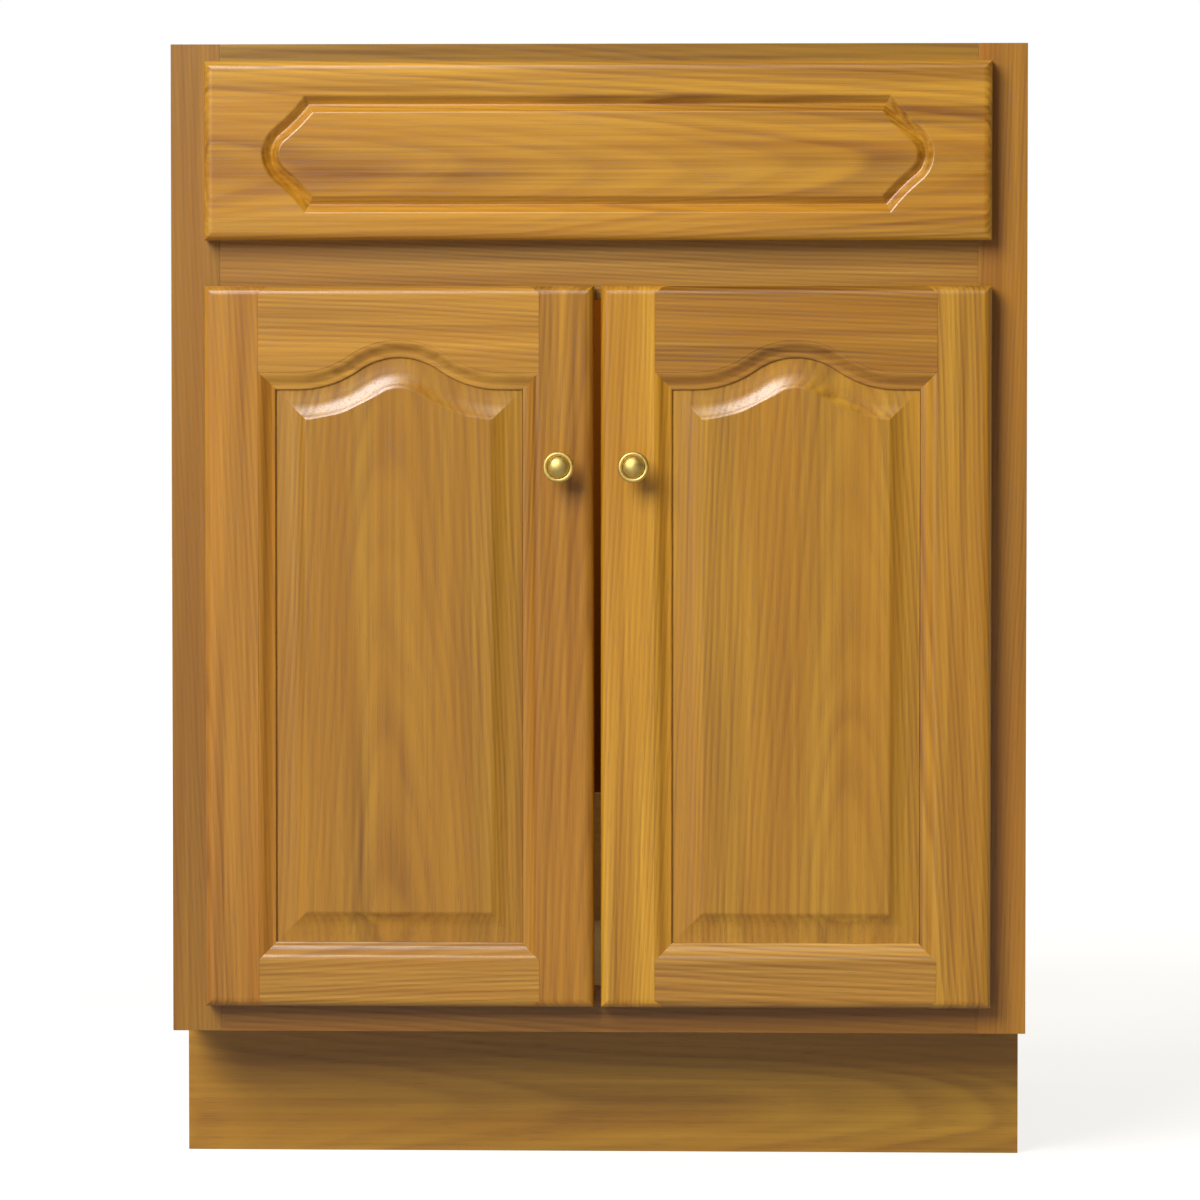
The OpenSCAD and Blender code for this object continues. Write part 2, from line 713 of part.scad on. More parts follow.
module top_rail() coped() difference() {
    translate([door_w / 2, door_t, arch_z]) rotate([90, 0, 0]) linear_extrude(door_t)
        polygon(concat(arch_points(door_w / 2, sticking_w),
            [[door_w / 2, door_h - arch_z], [-door_w / 2, door_h - arch_z]]));
    translate([door_w / 2, 0, arch_z]) swept(sticking_waste(), arch_stations(door_w / 2 + past));
    translate([door_w / 2, groove_front + groove_t, arch_z]) rotate([90, 0, 0]) linear_extrude(groove_t)
        polygon(concat(arch_points(door_w / 2 + past, sticking_w - groove_depth),
            reversed(arch_points(door_w / 2 + past, sticking_w + past))));
    run_across(edge_waste(), door_h, door_w, -1);
}

module bottom_rail() coped() difference() {
    cube([door_w, door_t, bottom_rail_flat + sticking_w]);
    run_across(sticking_waste(), bottom_rail_flat, door_w);
    run_across(edge_waste(), 0, door_w);
    translate([-past, groove_front, bottom_rail_flat + sticking_w - groove_depth])
        cube([door_w + 2 * past, groove_t, groove_depth + past]);
}

module raised_panel() {
    rows = raising();
    n = panel_steps + 3;
    points = [for (row = rows) for (p = panel_ring(row[0])) [p[0], row[1], p[1]]];
    sides = [for (i = [0 : len(rows) - 2]) for (j = [0 : n - 1]) let(l = (j + 1) % n)
        [i * n + j, (i + 1) * n + j, (i + 1) * n + l, i * n + l]];
    back = [for (j = [0 : n - 1]) j];
    field = [for (j = [n - 1 : -1 : 0]) (len(rows) - 1) * n + j];
    translate([door_w / 2, 0, arch_z]) polyhedron(points, concat(sides, [back, field]));
}

module left_door_hinge_stile() color(oak) in_door() hinge_stile();
module left_door_lock_stile() color(oak) in_door() lock_stile();
module left_door_top_rail() color(oak_light) in_door() top_rail();
module left_door_bottom_rail() color(oak_light) in_door() bottom_rail();
module left_door_panel() color(oak_dark) in_door() raised_panel();
module right_door_hinge_stile() color(oak) at_right() in_door() hinge_stile();
module right_door_lock_stile() color(oak_light) at_right() in_door() lock_stile();
module right_door_top_rail() color(oak_dark) at_right() in_door() top_rail();
module right_door_bottom_rail() color(oak) at_right() in_door() bottom_rail();
module right_door_panel() color(oak) at_right() in_door() raised_panel();

// Knobs and bumpers

// Half of the turned section, from the middle of its foot to the top of its dome
function knob_section() = concat(
    [
        [0, 0], [knob_foot_r, 0], [knob_foot_r, knob_foot_h],
        [knob_flare_r, 2 * knob_foot_h], [knob_neck_r, 4 * knob_foot_h], [knob_neck_r, knob_neck_top],
        [knob_flare_r, knob_neck_top + 2 * knob_foot_h]
    ],
    [for (i = [0 : rim_steps]) let(a = rim_start + rim_turn * i / rim_steps)
        [knob_r - rim_r + rim_r * cos(a), rim_z + rim_r * sin(a)]],
    [for (i = [0 : dome_steps]) let(a = 90 * i / dome_steps)
        [dome_r * cos(a), dome_z + (knob_out - dome_z) * sin(a)]]
);

module knob() difference() {
    translate([door_w - knob_in, 0, door_h - knob_down]) rotate([90, 0, 0]) rotate_extrude()
        polygon(knob_section());
    translate([door_w - knob_in, -knob_thread - hole_end_gap, door_h - knob_down]) head_to_back()
        cylinder(h = knob_thread + hole_end_gap + past, r = knob_screw_r + bore_play);
}

module knob_screw() translate([door_w - knob_in, door_t, door_h - knob_down]) head_to_back() {
    translate([0, 0, -door_t - knob_thread]) cylinder(h = door_t + knob_thread, r = knob_screw_r);
    cylinder(h = knob_head_h, r1 = knob_head_r, r2 = screw_head_top * knob_head_r);
}

module bumpers() for (z = bumper_z) translate([bumper_x, door_t, z]) head_to_back()
    cylinder(h = door_gap - bumper_gap, r1 = bumper_r, r2 = bumper_taper * bumper_r);

module left_knob() color(brass) in_door() knob();
module left_knob_screw() color(steel) in_door() knob_screw();
module left_door_bumpers() color(clear_rubber) in_door() bumpers();
module right_knob() color(brass) at_right() in_door() knob();
module right_knob_screw() color(steel) at_right() in_door() knob_screw();
module right_door_bumpers() color(clear_rubber) at_right() in_door() bumpers();

// Hinges: a cup in the door, an arm on the face frame and a pin through both

module cup_screw_places() for (side = [-1, 1])
    translate([cup_screw_in, door_t + cup_flange_t, side * cup_screw_z]) head_to_back() children();

module hinge_cup(i) difference() {
    translate([cup_x, 0, hinge_z[i]]) {
        translate([0, door_t - cup_depth, 0]) head_to_back() cylinder(h = cup_depth, r = cup_r);
        translate([0, door_t, 0]) head_to_back() cylinder(h = cup_flange_t, r = cup_flange_r);
        translate([0, door_t, -cup_ear_half]) cube([cup_ear_w, cup_flange_t, 2 * cup_ear_half]);
    }
    intersection() {
        translate([cup_x, door_t - cup_depth + cup_wall, hinge_z[i]]) head_to_back()
            cylinder(h = cup_depth + cup_flange_t, r = cup_r - cup_wall);
        translate([0, 0, hinge_z[i] - cup_slot_h / 2])
            cube([cup_x + cup_r, door_t + cup_flange_t + past, cup_slot_h]);
    }
    translate([pivot_in, door_t - pivot_deep, hinge_z[i] - cup_r])
        cylinder(h = 2 * cup_r, r = pin_r + bore_play);
    translate([cup_x, 0, hinge_z[i]]) cup_screw_places() screw_hole(cup_screw_l, cup_screw_r);
}

module hinge_pins() for (z = hinge_z) translate([pivot_in, door_t - pivot_deep, z - pin_half])
    cylinder(h = 2 * pin_half, r = pin_r);

module cup_screws() for (z = hinge_z) translate([cup_x, 0, z]) cup_screw_places()
    screw(cup_screw_l, cup_screw_r, 2 * cup_screw_r, cup_screw_r);

// Section of the arm with the pivot as its origin: a neck in the cup, a leg out of it and a foot
module arm_section() difference() {
    union() {
        circle(r = knuckle_r);
        rotate(-arm_dip) translate([0, -arm_t / 2]) square([arm_reach, arm_t]);
        translate([arm_reach - arm_t / 2, -arm_drop - arm_t / 2])
            square([arm_t, arm_drop + arm_t / 2 + pivot_deep + door_gap + arm_foot + arm_t]);
        translate([plate_x, pivot_deep + door_gap + arm_foot])
            square([arm_reach + arm_t / 2 - plate_x, arm_t]);
    }
    circle(r = pin_r + pin_play);
}

module hinge_arm(i) in_door() difference() {
    translate([pivot_in, door_t - pivot_deep, hinge_z[i]]) {
        translate([0, 0, -arm_h / 2]) linear_extrude(arm_h) arm_section();
        translate([plate_x, pivot_deep + door_gap + plate_front, -plate_h / 2])
            cube([plate_t, plate_w, plate_h]);
    }
    plate_screw_places_in_door() screw_hole(plate_screw_l, screw_r);
}

module plate_screw_places_in_door() for (z = hinge_z, side = [-1, 1])
    translate([side_lap + plate_t, door_t + door_gap + frame_t / 2, z + side * plate_screw_z])
        head_to_right() children();
module plate_screw_places() in_door() plate_screw_places_in_door() children();

module left_upper_hinge_arm() color(steel) hinge_arm(1);
module left_lower_hinge_arm() color(steel) hinge_arm(0);
module right_upper_hinge_arm() color(steel) at_right() hinge_arm(1);
module right_lower_hinge_arm() color(steel) at_right() hinge_arm(0);
module hinge_arm_screws() color(steel) both_sides() plate_screw_places()
    screw(plate_screw_l, screw_r, screw_head_r, screw_head_h);
module left_upper_hinge_cup() color(steel) in_door() hinge_cup(1);
module left_lower_hinge_cup() color(steel) in_door() hinge_cup(0);
module left_hinge_pins() color(steel) in_door() hinge_pins();
module left_cup_screws() color(steel) in_door() cup_screws();
module right_upper_hinge_cup() color(steel) at_right() in_door() hinge_cup(1);
module right_lower_hinge_cup() color(steel) at_right() in_door() hinge_cup(0);
module right_hinge_pins() color(steel) at_right() in_door() hinge_pins();
module right_cup_screws() color(steel) at_right() in_door() cup_screws();

left_frame_stile();
right_frame_stile();
top_frame_rail();
middle_frame_rail();
bottom_frame_rail();
left_side_panel();
right_side_panel();
bottom_panel();
toe_kick_board();
front_toe_rail();
rear_toe_rail();
lower_back_rail();
upper_back_rail();
rail_dowels();
front_left_brace();
front_right_brace();
back_left_brace();
back_right_brace();
brace_screws();
false_front();
left_front_cleat();
right_front_cleat();
false_front_screws();
cleat_screws();
left_upper_hinge_arm();
left_lower_hinge_arm();
right_upper_hinge_arm();
right_lower_hinge_arm();
hinge_arm_screws();
left_door_hinge_stile();
left_door_lock_stile();
left_door_top_rail();
left_door_bottom_rail();
left_door_panel();
left_knob();
left_knob_screw();
left_upper_hinge_cup();
left_lower_hinge_cup();
left_hinge_pins();
left_cup_screws();
left_door_bumpers();
right_door_hinge_stile();
right_door_lock_stile();
right_door_top_rail();
right_door_bottom_rail();
right_door_panel();
right_knob();
right_knob_screw();
right_upper_hinge_cup();
right_lower_hinge_cup();
right_hinge_pins();
right_cup_screws();
right_door_bumpers();
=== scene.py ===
"""Finishes a vanity base cabinet: oak boards, turned brass knobs, cup hinges and screws, in a small studio."""

import json
import math

import bmesh
import bpy
from bpy.props import FloatProperty, FloatVectorProperty, PointerProperty
from mathutils import Matrix, Vector


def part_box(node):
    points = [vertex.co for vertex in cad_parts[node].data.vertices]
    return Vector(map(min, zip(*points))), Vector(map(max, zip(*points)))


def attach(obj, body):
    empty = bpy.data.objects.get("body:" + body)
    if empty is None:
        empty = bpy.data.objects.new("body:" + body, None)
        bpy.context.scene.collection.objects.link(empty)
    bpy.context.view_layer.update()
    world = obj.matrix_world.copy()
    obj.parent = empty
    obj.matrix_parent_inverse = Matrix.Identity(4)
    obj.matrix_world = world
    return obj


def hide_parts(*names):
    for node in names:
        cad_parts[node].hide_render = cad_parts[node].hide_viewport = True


bl_info = {
    "name": "Vanity Base Cabinet",
    "version": (1, 0, 0),
    "blender": (4, 5, 0),
    "location": "3D View > Sidebar > Cabinet",
    "description": "Finishes a vanity base cabinet and sets up a studio to show it in",
    "category": "Object",
}

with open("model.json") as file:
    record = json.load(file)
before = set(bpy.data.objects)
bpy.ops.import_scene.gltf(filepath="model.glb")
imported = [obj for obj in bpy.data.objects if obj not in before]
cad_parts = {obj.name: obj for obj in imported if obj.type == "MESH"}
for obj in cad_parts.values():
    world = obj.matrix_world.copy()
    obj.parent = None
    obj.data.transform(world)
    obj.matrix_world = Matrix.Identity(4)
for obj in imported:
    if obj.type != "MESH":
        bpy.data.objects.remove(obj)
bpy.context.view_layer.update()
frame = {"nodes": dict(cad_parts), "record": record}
CAD_NODES = frame["nodes"]
BODY_OF = {node: body for body, nodes in frame["record"]["behaviour"]["bodies"].items() for node in nodes}
SLOT_OF = {part["node"]: part["material_slot"] for part in frame["record"]["subparts"]}

MM = 0.001
WHITE = (1.0, 1.0, 1.0, 1.0)

# Meshes
MERGE_DISTANCE = 0.002 * MM
FLAT_ANGLE = math.radians(0.6)
SHARP_ANGLE = math.radians(28)
MITRE_SLOPE = math.sin(math.radians(2))
MITRE_TURN = math.radians(35)
HARDWARE_EASE = 0.08 * MM

# A door panel's raising in the CAD: its climb and the radii of its hollow and its roll. The last is the share of
# its width that the hollow takes in the scene.
RAISING_CLIMB = 4.1 * MM
RAISING_HOLLOW = 17.0 * MM
RAISING_ROLL = 11.5 * MM
HOLLOW_SHARE = 0.865

# Grain: the log's taper, then cycles a metre across and along the grain. Each wander also has its depth, and each
# noise its detail and roughness.
LOG_TAPER = 0.045
WANDERS = ((7.0, 1.6, 22.0 * MM), (26.0, 5.0, 5.2 * MM), (90.0, 14.0, 1.1 * MM))
STREAK_NOISE = (260.0, 3.4, 3.0, 0.6)
CLOUD_NOISE = (62.0, 3.0, 1.0, 0.5)
DRIFT_NOISE = (30.0, 2.2, 2.0, 0.5)
PORE_NOISE = (1900.0, 46.0, 1.0, 0.5)
LAMINATE_NOISE = (240.0, 4.0, 3.0, 0.5)

# How far the rings, the streaks and the clouds move oak from its middle colour towards light or dark, and the
# greatest shares of rosy wood and of stain in the pores
RING_SWING = -0.2
RING_MIDDLE = 0.06
FIGURE_SWINGS = (("Streaks", 0.16), ("Cloud", 0.14))
MOST_ROSY = 0.35
PORE_STAIN = 0.25

# Surfaces
OAK_SPECULAR = 0.9
NICKEL_ROUGHNESS = 0.3
ZINC_ROUGHNESS = 0.36

# Studio
KEY_DIRECTION = (-0.395, -0.748, 0.53)
FILL_COLOUR = (1.0, 0.84, 0.52, 1.0)
FLOOR_REACH = 12.0
FLOOR_GREY = (0.32, 0.32, 0.32, 1.0)
FLOOR_GLOW = 0.80
FLOOR_GLOW_REACH = (1.0, 3.0)
FLOOR_MIRRORED = (0.04, 0.5)
SKY_MIRRORED = 0.4
SKY_MIRRORED_IN_FRONT = 0.3


def linear(red, green, blue):
    """A colour given as 0 to 255 on screen, as the scene's linear colour."""
    return tuple(
        c / 12.92 if c <= 0.04045 else ((c + 0.055) / 1.055) ** 2.4 for c in (red / 255, green / 255, blue / 255)
    )


def opaque(colour):
    """The colour with an alpha of 1."""
    return (*colour, 1.0)


# Settings that a user would change


class OakFinish(bpy.types.PropertyGroup):
    """Colours and figure of the golden oak boards"""

    light: FloatVectorProperty(
        name="Light wood", description="Oak where the figure is lightest", subtype="COLOR",
        default=linear(221, 168, 74),
    )
    dark: FloatVectorProperty(
        name="Dark wood", description="Oak where the figure is darkest", subtype="COLOR", default=linear(131, 80, 2)
    )
    rosy: FloatVectorProperty(
        name="Rosy drift", description="Pinker tone that drifts over a board", subtype="COLOR",
        default=linear(185, 121, 28),
    )
    pore: FloatVectorProperty(
        name="Pores", description="Stain held in the open pores", subtype="COLOR", default=linear(112, 66, 8)
    )
    ring_spacing: FloatProperty(
        name="Ring spacing", description="Distance between growth rings", default=0.0032, unit="LENGTH"
    )
    roughness: FloatProperty(
        name="Roughness", description="Roughness of the satin finish", default=0.3, subtype="FACTOR"
    )


class BoardFinish(bpy.types.PropertyGroup):
    """Colours of the unfinished boards inside the case"""

    laminate: FloatVectorProperty(
        name="Laminate", description="Pale face of the case boards", subtype="COLOR", default=linear(219, 197, 160)
    )
    chips: FloatVectorProperty(
        name="Chips", description="Wood chips on the cut edges", subtype="COLOR", default=linear(186, 150, 102)
    )
    lumber: FloatVectorProperty(
        name="Lumber", description="Unfinished braces, cleats and rails", subtype="COLOR",
        default=linear(222, 190, 142),
    )
    ease: FloatProperty(
        name="Eased edge", description="Width of the eased edges", default=0.35 * MM, unit="LENGTH"
    )


class Hardware(bpy.types.PropertyGroup):
    """Metals and small parts"""

    brass: FloatVectorProperty(
        name="Brass", description="Satin brass of the knobs", subtype="COLOR", default=linear(224, 196, 116)
    )
    nickel: FloatVectorProperty(
        name="Nickel", description="Plating of the hinges", subtype="COLOR", default=linear(202, 198, 190)
    )
    zinc: FloatVectorProperty(
        name="Zinc", description="Plating of the screws", subtype="COLOR", default=linear(190, 188, 176)
    )
    brass_roughness: FloatProperty(
        name="Brass roughness", description="Roughness of the knobs' satin brass", default=0.46, subtype="FACTOR"
    )


class Studio(bpy.types.PropertyGroup):
    """Camera and lights"""

    distance: FloatProperty(
        name="Distance", description="Camera to the face frame", default=4.5, unit="LENGTH"
    )
    azimuth: FloatProperty(
        name="Azimuth", description="Camera's turn to the right", default=math.radians(2.2), subtype="ANGLE"
    )
    elevation: FloatProperty(
        name="Elevation", description="Camera's angle above level", default=math.radians(2.4), subtype="ANGLE"
    )
    aim: FloatVectorProperty(
        name="Aim", description="Point that the camera looks at, across and up the face frame", size=2,
        default=(0.0013, 0.4045), unit="LENGTH",
    )
    view_width: FloatProperty(
        name="View width", description="Width of the picture at the face frame", default=0.8555, unit="LENGTH"
    )
    key_distance: FloatProperty(
        name="Key distance", description="Key light to the face frame", default=6.0, unit="LENGTH"
    )
    key_width: FloatProperty(name="Key width", description="Width of the key light", default=2.9, unit="LENGTH")
    key_height: FloatProperty(name="Key height", description="Height of the key light", default=3.6, unit="LENGTH")
    key_power: FloatProperty(name="Key light", description="Power of the key light", default=390.0, unit="POWER")
    fill: FloatProperty(name="Fill", description="Strength of the light from all round", default=0.30)


# Node trees


def add(tree, kind, inputs=None, **settings):
    """A node with its settings and its inputs, each of them a value or another node's output."""
    node = tree.nodes.new(kind)
    for name, value in settings.items():
        setattr(node, name, value)
    for name, value in (inputs or {}).items():
        if isinstance(value, bpy.types.NodeSocket):
            tree.links.new(value, node.inputs[name])
        else:
            node.inputs[name].default_value = value
    return node


def maths(tree, operation, *values, clamp=False):
    """The result of a Math node."""
    node = add(tree, "ShaderNodeMath", dict(enumerate(values)), operation=operation, use_clamp=clamp)
    return node.outputs[0]


def vector_maths(tree, operation, *values):
    """The vector result of a Vector Math node."""
    return add(tree, "ShaderNodeVectorMath", dict(enumerate(values)), operation=operation).outputs[0]


def remap(tree, value, low, high, to_low=0.0, to_high=1.0, curve="LINEAR"):
    """A value moved from one range to another and clamped there."""
    inputs = {"Value": value, "From Min": low, "From Max": high, "To Min": to_low, "To Max": to_high}
    return add(tree, "ShaderNodeMapRange", inputs, interpolation_type=curve).outputs[0]


def mix(tree, share, first, second, blend="MIX"):
    """Two colours mixed by a share."""
    node = add(tree, "ShaderNodeMix", data_type="RGBA", blend_type=blend, clamp_factor=True)
    for socket, value in ((node.inputs[0], share), (node.inputs[6], first), (node.inputs[7], second)):
        if isinstance(value, bpy.types.NodeSocket):
            tree.links.new(value, socket)
        else:
            socket.default_value = value
    return node.outputs[2]


def stretched_noise(tree, place, across, along, detail, roughness=0.5):
    """Noise over a place, finer across the grain than along it. Both scales are in cycles a metre."""
    scaled = vector_maths(tree, "MULTIPLY", place, (across, across, along))
    inputs = {"Vector": scaled, "Scale": 1.0, "Detail": detail, "Roughness": roughness}
    return add(tree, "ShaderNodeTexNoise", inputs, noise_dimensions="3D").outputs["Fac"]


def shader_group(name, inputs, outputs):
    """An empty group with its sockets, and its two end nodes. Sockets are given as a name and a type."""
    tree = bpy.data.node_groups.new(name, "ShaderNodeTree")
    for label, kind in inputs:
        tree.interface.new_socket(label, in_out="INPUT", socket_type=kind)
    for label, kind in outputs:
        tree.interface.new_socket(label, in_out="OUTPUT", socket_type=kind)
    return tree, tree.nodes.new("NodeGroupInput").outputs, tree.nodes.new("NodeGroupOutput").inputs


def oak_figure():
    """Group with the growth rings, streaks and pores of a board, from its place in the log.

    The pith runs up the log's Z axis, so a board cut beside it shows straight grain and a board cut
    in front of it shows arches. The taper and the wander give the arches their points and waves.
    """
    if "Oak Figure" in bpy.data.node_groups:
        return bpy.data.node_groups["Oak Figure"]
    tree, given, result = shader_group(
        "Oak Figure",
        [("Place", "NodeSocketVector"), ("Ring Spacing", "NodeSocketFloat")],
        [("Rings", "NodeSocketFloat"), ("Streaks", "NodeSocketFloat"), ("Cloud", "NodeSocketFloat"),
         ("Drift", "NodeSocketFloat"), ("Pores", "NodeSocketFloat"), ("Height", "NodeSocketFloat")],
    )
    place = given["Place"]
    split = add(tree, "ShaderNodeSeparateXYZ", {"Vector": place}).outputs
    radius = maths(tree, "SQRT", maths(tree, "ADD", maths(tree, "MULTIPLY", split["X"], split["X"]),
                                       maths(tree, "MULTIPLY", split["Y"], split["Y"])))
    tapered = maths(tree, "MULTIPLY_ADD", split["Z"], LOG_TAPER, radius)
    for across, along, depth in WANDERS:
        wander = stretched_noise(tree, place, across, along, detail=1.0)
        tapered = maths(tree, "MULTIPLY_ADD", maths(tree, "SUBTRACT", wander, 0.5), depth, tapered)
    rings = maths(tree, "DIVIDE", tapered, given["Ring Spacing"])
    phase = maths(tree, "FRACT", rings)
    number = maths(tree, "FLOOR", rings)
    strength = add(tree, "ShaderNodeTexWhiteNoise", {"W": number}, noise_dimensions="1D").outputs["Value"]

    rise = remap(tree, phase, 0.0, 0.22, 0.2, 1.0, "SMOOTHSTEP")
    fall = remap(tree, phase, 0.22, 0.95, 1.0, 0.0, "SMOOTHSTEP")
    late = remap(tree, phase, 0.85, 1.0, 0.0, 0.2, "SMOOTHSTEP")
    band = maths(tree, "MAXIMUM", maths(tree, "MINIMUM", rise, fall), late)
    band = maths(tree, "MULTIPLY", band, remap(tree, strength, 0.0, 1.0, 0.3, 1.0))

    streaks = stretched_noise(tree, place, *STREAK_NOISE)
    cloud = stretched_noise(tree, place, *CLOUD_NOISE)
    drift = stretched_noise(tree, place, *DRIFT_NOISE)
    fine = stretched_noise(tree, place, *PORE_NOISE)
    porous = maths(tree, "MULTIPLY_ADD", band, 0.12, fine)
    pores = remap(tree, porous, 0.60, 0.74, curve="SMOOTHSTEP")

    height = maths(tree, "SUBTRACT", maths(tree, "MULTIPLY", band, -0.25), pores)
    for label, value in (("Rings", band), ("Streaks", streaks), ("Cloud", cloud), ("Drift", drift),
                         ("Pores", pores), ("Height", height)):
        tree.links.new(value, result[label])
    return tree


def new_material(name):
    """A material with a Principled BSDF, as the material, its tree and the shader."""
    material = bpy.data.materials.new(name)
    material.use_nodes = True
    shader = material.node_tree.nodes["Principled BSDF"]
    return material, material.node_tree, shader


def oak(scene):
    """Golden oak with a satin finish. Rings, streaks and clouds move it between a dark and a light colour."""
    if "golden_oak" in bpy.data.materials:
        return bpy.data.materials["golden_oak"]
    finish = scene.oak_finish
    material, tree, shader = new_material("golden_oak")
    place = add(tree, "ShaderNodeAttribute", attribute_name="log_place").outputs["Vector"]
    tint_and_shade = add(tree, "ShaderNodeAttribute", attribute_name="board_tint_and_shade").outputs["Vector"]
    figure = add(tree, "ShaderNodeGroup", node_tree=oak_figure())
    tree.links.new(place, figure.inputs["Place"])
    figure.inputs["Ring Spacing"].default_value = finish.ring_spacing
    seen = figure.outputs
    strength = add(tree, "ShaderNodeAttribute", attribute_name="board_figure").outputs["Fac"]

    swing = maths(tree, "MULTIPLY_ADD", seen["Rings"], RING_SWING, RING_MIDDLE)
    for label, depth in FIGURE_SWINGS:
        swing = maths(tree, "ADD", swing, remap(tree, seen[label], 0.28, 0.72, -depth, depth))
    share = maths(tree, "MULTIPLY_ADD", swing, strength, 0.5)
    base = mix(tree, share, opaque(finish.dark), opaque(finish.light))
    drift = remap(tree, seen["Drift"], 0.38, 0.62, 0.0, MOST_ROSY, "SMOOTHSTEP")
    base = mix(tree, drift, base, opaque(finish.rosy))
    base = mix(tree, maths(tree, "MULTIPLY", seen["Pores"], PORE_STAIN), base, opaque(finish.pore))
    # Painted shade: each board's tint gives it its own tone, and darkens the boards that stand in shade.
    base = mix(tree, 1.0, base, tint_and_shade, blend="MULTIPLY")

    bump = add(tree, "ShaderNodeBump", {"Height": seen["Height"], "Strength": 0.15, "Distance": 0.08 * MM})
    tree.links.new(base, shader.inputs["Base Color"])
    tree.links.new(bump.outputs["Normal"], shader.inputs["Normal"])
    rough = remap(tree, seen["Pores"], 0.0, 1.0, finish.roughness, finish.roughness + 0.12)
    tree.links.new(rough, shader.inputs["Roughness"])
    shader.inputs["Specular IOR Level"].default_value = OAK_SPECULAR
    return material


def lumber(scene):
    """Pale unfinished wood."""
    if "pale_lumber" in bpy.data.materials:
        return bpy.data.materials["pale_lumber"]
    material, tree, shader = new_material("pale_lumber")
    place = add(tree, "ShaderNodeAttribute", attribute_name="log_place").outputs["Vector"]
    figure = add(tree, "ShaderNodeGroup", node_tree=oak_figure())
    tree.links.new(place, figure.inputs["Place"])
    figure.inputs["Ring Spacing"].default_value = 4.5 * MM
    colour = opaque(scene.board_finish.lumber)
    darker = opaque(tuple(c * 0.72 for c in scene.board_finish.lumber))
    base = mix(tree, maths(tree, "MULTIPLY", figure.outputs["Rings"], 0.45), colour, darker)
    light = remap(tree, figure.outputs["Streaks"], 0.25, 0.75, 0.92, 1.06)
    base = mix(tree, 1.0, base, light, blend="MULTIPLY")
    tree.links.new(base, shader.inputs["Base Color"])
    bump = add(tree, "ShaderNodeBump",
               {"Height": figure.outputs["Streaks"], "Strength": 0.3, "Distance": 0.1 * MM})
    tree.links.new(bump.outputs["Normal"], shader.inputs["Normal"])
    shader.inputs["Roughness"].default_value = 0.72
    return material


def laminate(scene):
    """Pale smooth face of the case boards, with a faint printed grain."""
    if "pale_laminate" in bpy.data.materials:
        return bpy.data.materials["pale_laminate"]
    material, tree, shader = new_material("pale_laminate")
    place = add(tree, "ShaderNodeAttribute", attribute_name="log_place").outputs["Vector"]
    streaks = stretched_noise(tree, place, *LAMINATE_NOISE)
    light = remap(tree, streaks, 0.3, 0.7, 0.94, 1.04)
    base = mix(tree, 1.0, opaque(scene.board_finish.laminate), light, blend="MULTIPLY")
    tree.links.new(base, shader.inputs["Base Color"])
    shader.inputs["Roughness"].default_value = 0.5
    return material


def chipboard(scene):
    """Cut edge of a particle board."""
    if "chipboard_edge" in bpy.data.materials:
        return bpy.data.materials["chipboard_edge"]
    material, tree, shader = new_material("chipboard_edge")
    place = add(tree, "ShaderNodeTexCoord").outputs["Object"]
    cells = add(tree, "ShaderNodeTexVoronoi", {"Vector": place, "Scale": 620.0}, feature="F1")
    shade = add(tree, "ShaderNodeSeparateColor", {"Color": cells.outputs["Color"]}).outputs["Red"]
    colour = scene.board_finish.chips
    darker = opaque(tuple(c * 0.55 for c in colour))
    paler = opaque(tuple(min(1.0, c * 1.25) for c in colour))
    base = mix(tree, remap(tree, shade, 0.1, 0.9), darker, paler)
    tree.links.new(base, shader.inputs["Base Color"])
    bump = add(tree, "ShaderNodeBump", {"Height": shade, "Strength": 0.5, "Distance": 0.15 * MM})
    tree.links.new(bump.outputs["Normal"], shader.inputs["Normal"])
    shader.inputs["Roughness"].default_value = 0.85
    return material


def metal(name, colour, roughness):
    """A metal whose roughness varies a little, with fine marks."""
    if name in bpy.data.materials:
        return bpy.data.materials[name]
    material, tree, shader = new_material(name)
    place = add(tree, "ShaderNodeTexCoord").outputs["Object"]
    smudges = add(tree, "ShaderNodeTexNoise", {"Vector": place, "Scale": 180.0, "Detail": 3.0}).outputs["Fac"]
    marks = add(tree, "ShaderNodeTexNoise", {"Vector": place, "Scale": 1800.0, "Detail": 2.0}).outputs["Fac"]
    shade = remap(tree, smudges, 0.3, 0.7, 0.9, 1.05)
    tree.links.new(mix(tree, 1.0, opaque(colour), shade, blend="MULTIPLY"), shader.inputs["Base Color"])
    tree.links.new(remap(tree, smudges, 0.3, 0.7, roughness * 0.8, roughness * 1.3), shader.inputs["Roughness"])
    bump = add(tree, "ShaderNodeBump", {"Height": marks, "Strength": 0.1, "Distance": 0.02 * MM})
    tree.links.new(bump.outputs["Normal"], shader.inputs["Normal"])
    shader.inputs["Metallic"].default_value = 1.0
    return material


def clear_rubber():
    """Soft clear plastic of the door bumpers."""
    material, tree, shader = new_material("clear_rubber")
    place = add(tree, "ShaderNodeTexCoord").outputs["Object"]
    cloud = add(tree, "ShaderNodeTexNoise", {"Vector": place, "Scale": 400.0}).outputs["Fac"]
    tree.links.new(remap(tree, cloud, 0.3, 0.7, 0.25, 0.4), shader.inputs["Roughness"])
    shader.inputs["Base Color"].default_value = (0.86, 0.86, 0.82, 1.0)
    shader.inputs["Transmission Weight"].default_value = 0.6
    shader.inputs["IOR"].default_value = 1.45
    return material


# Boards


UP = Matrix(((1, 0, 0), (0, 1, 0), (0, 0, 1)))
ACROSS = Matrix(((0, 0, 1), (0, 1, 0), (1, 0, 0)))
SIDE_UP = Matrix(((0, 1, 0), (1, 0, 0), (0, 0, 1)))
FLAT_ACROSS = Matrix(((0, 1, 0), (0, 0, 1), (1, 0, 0)))
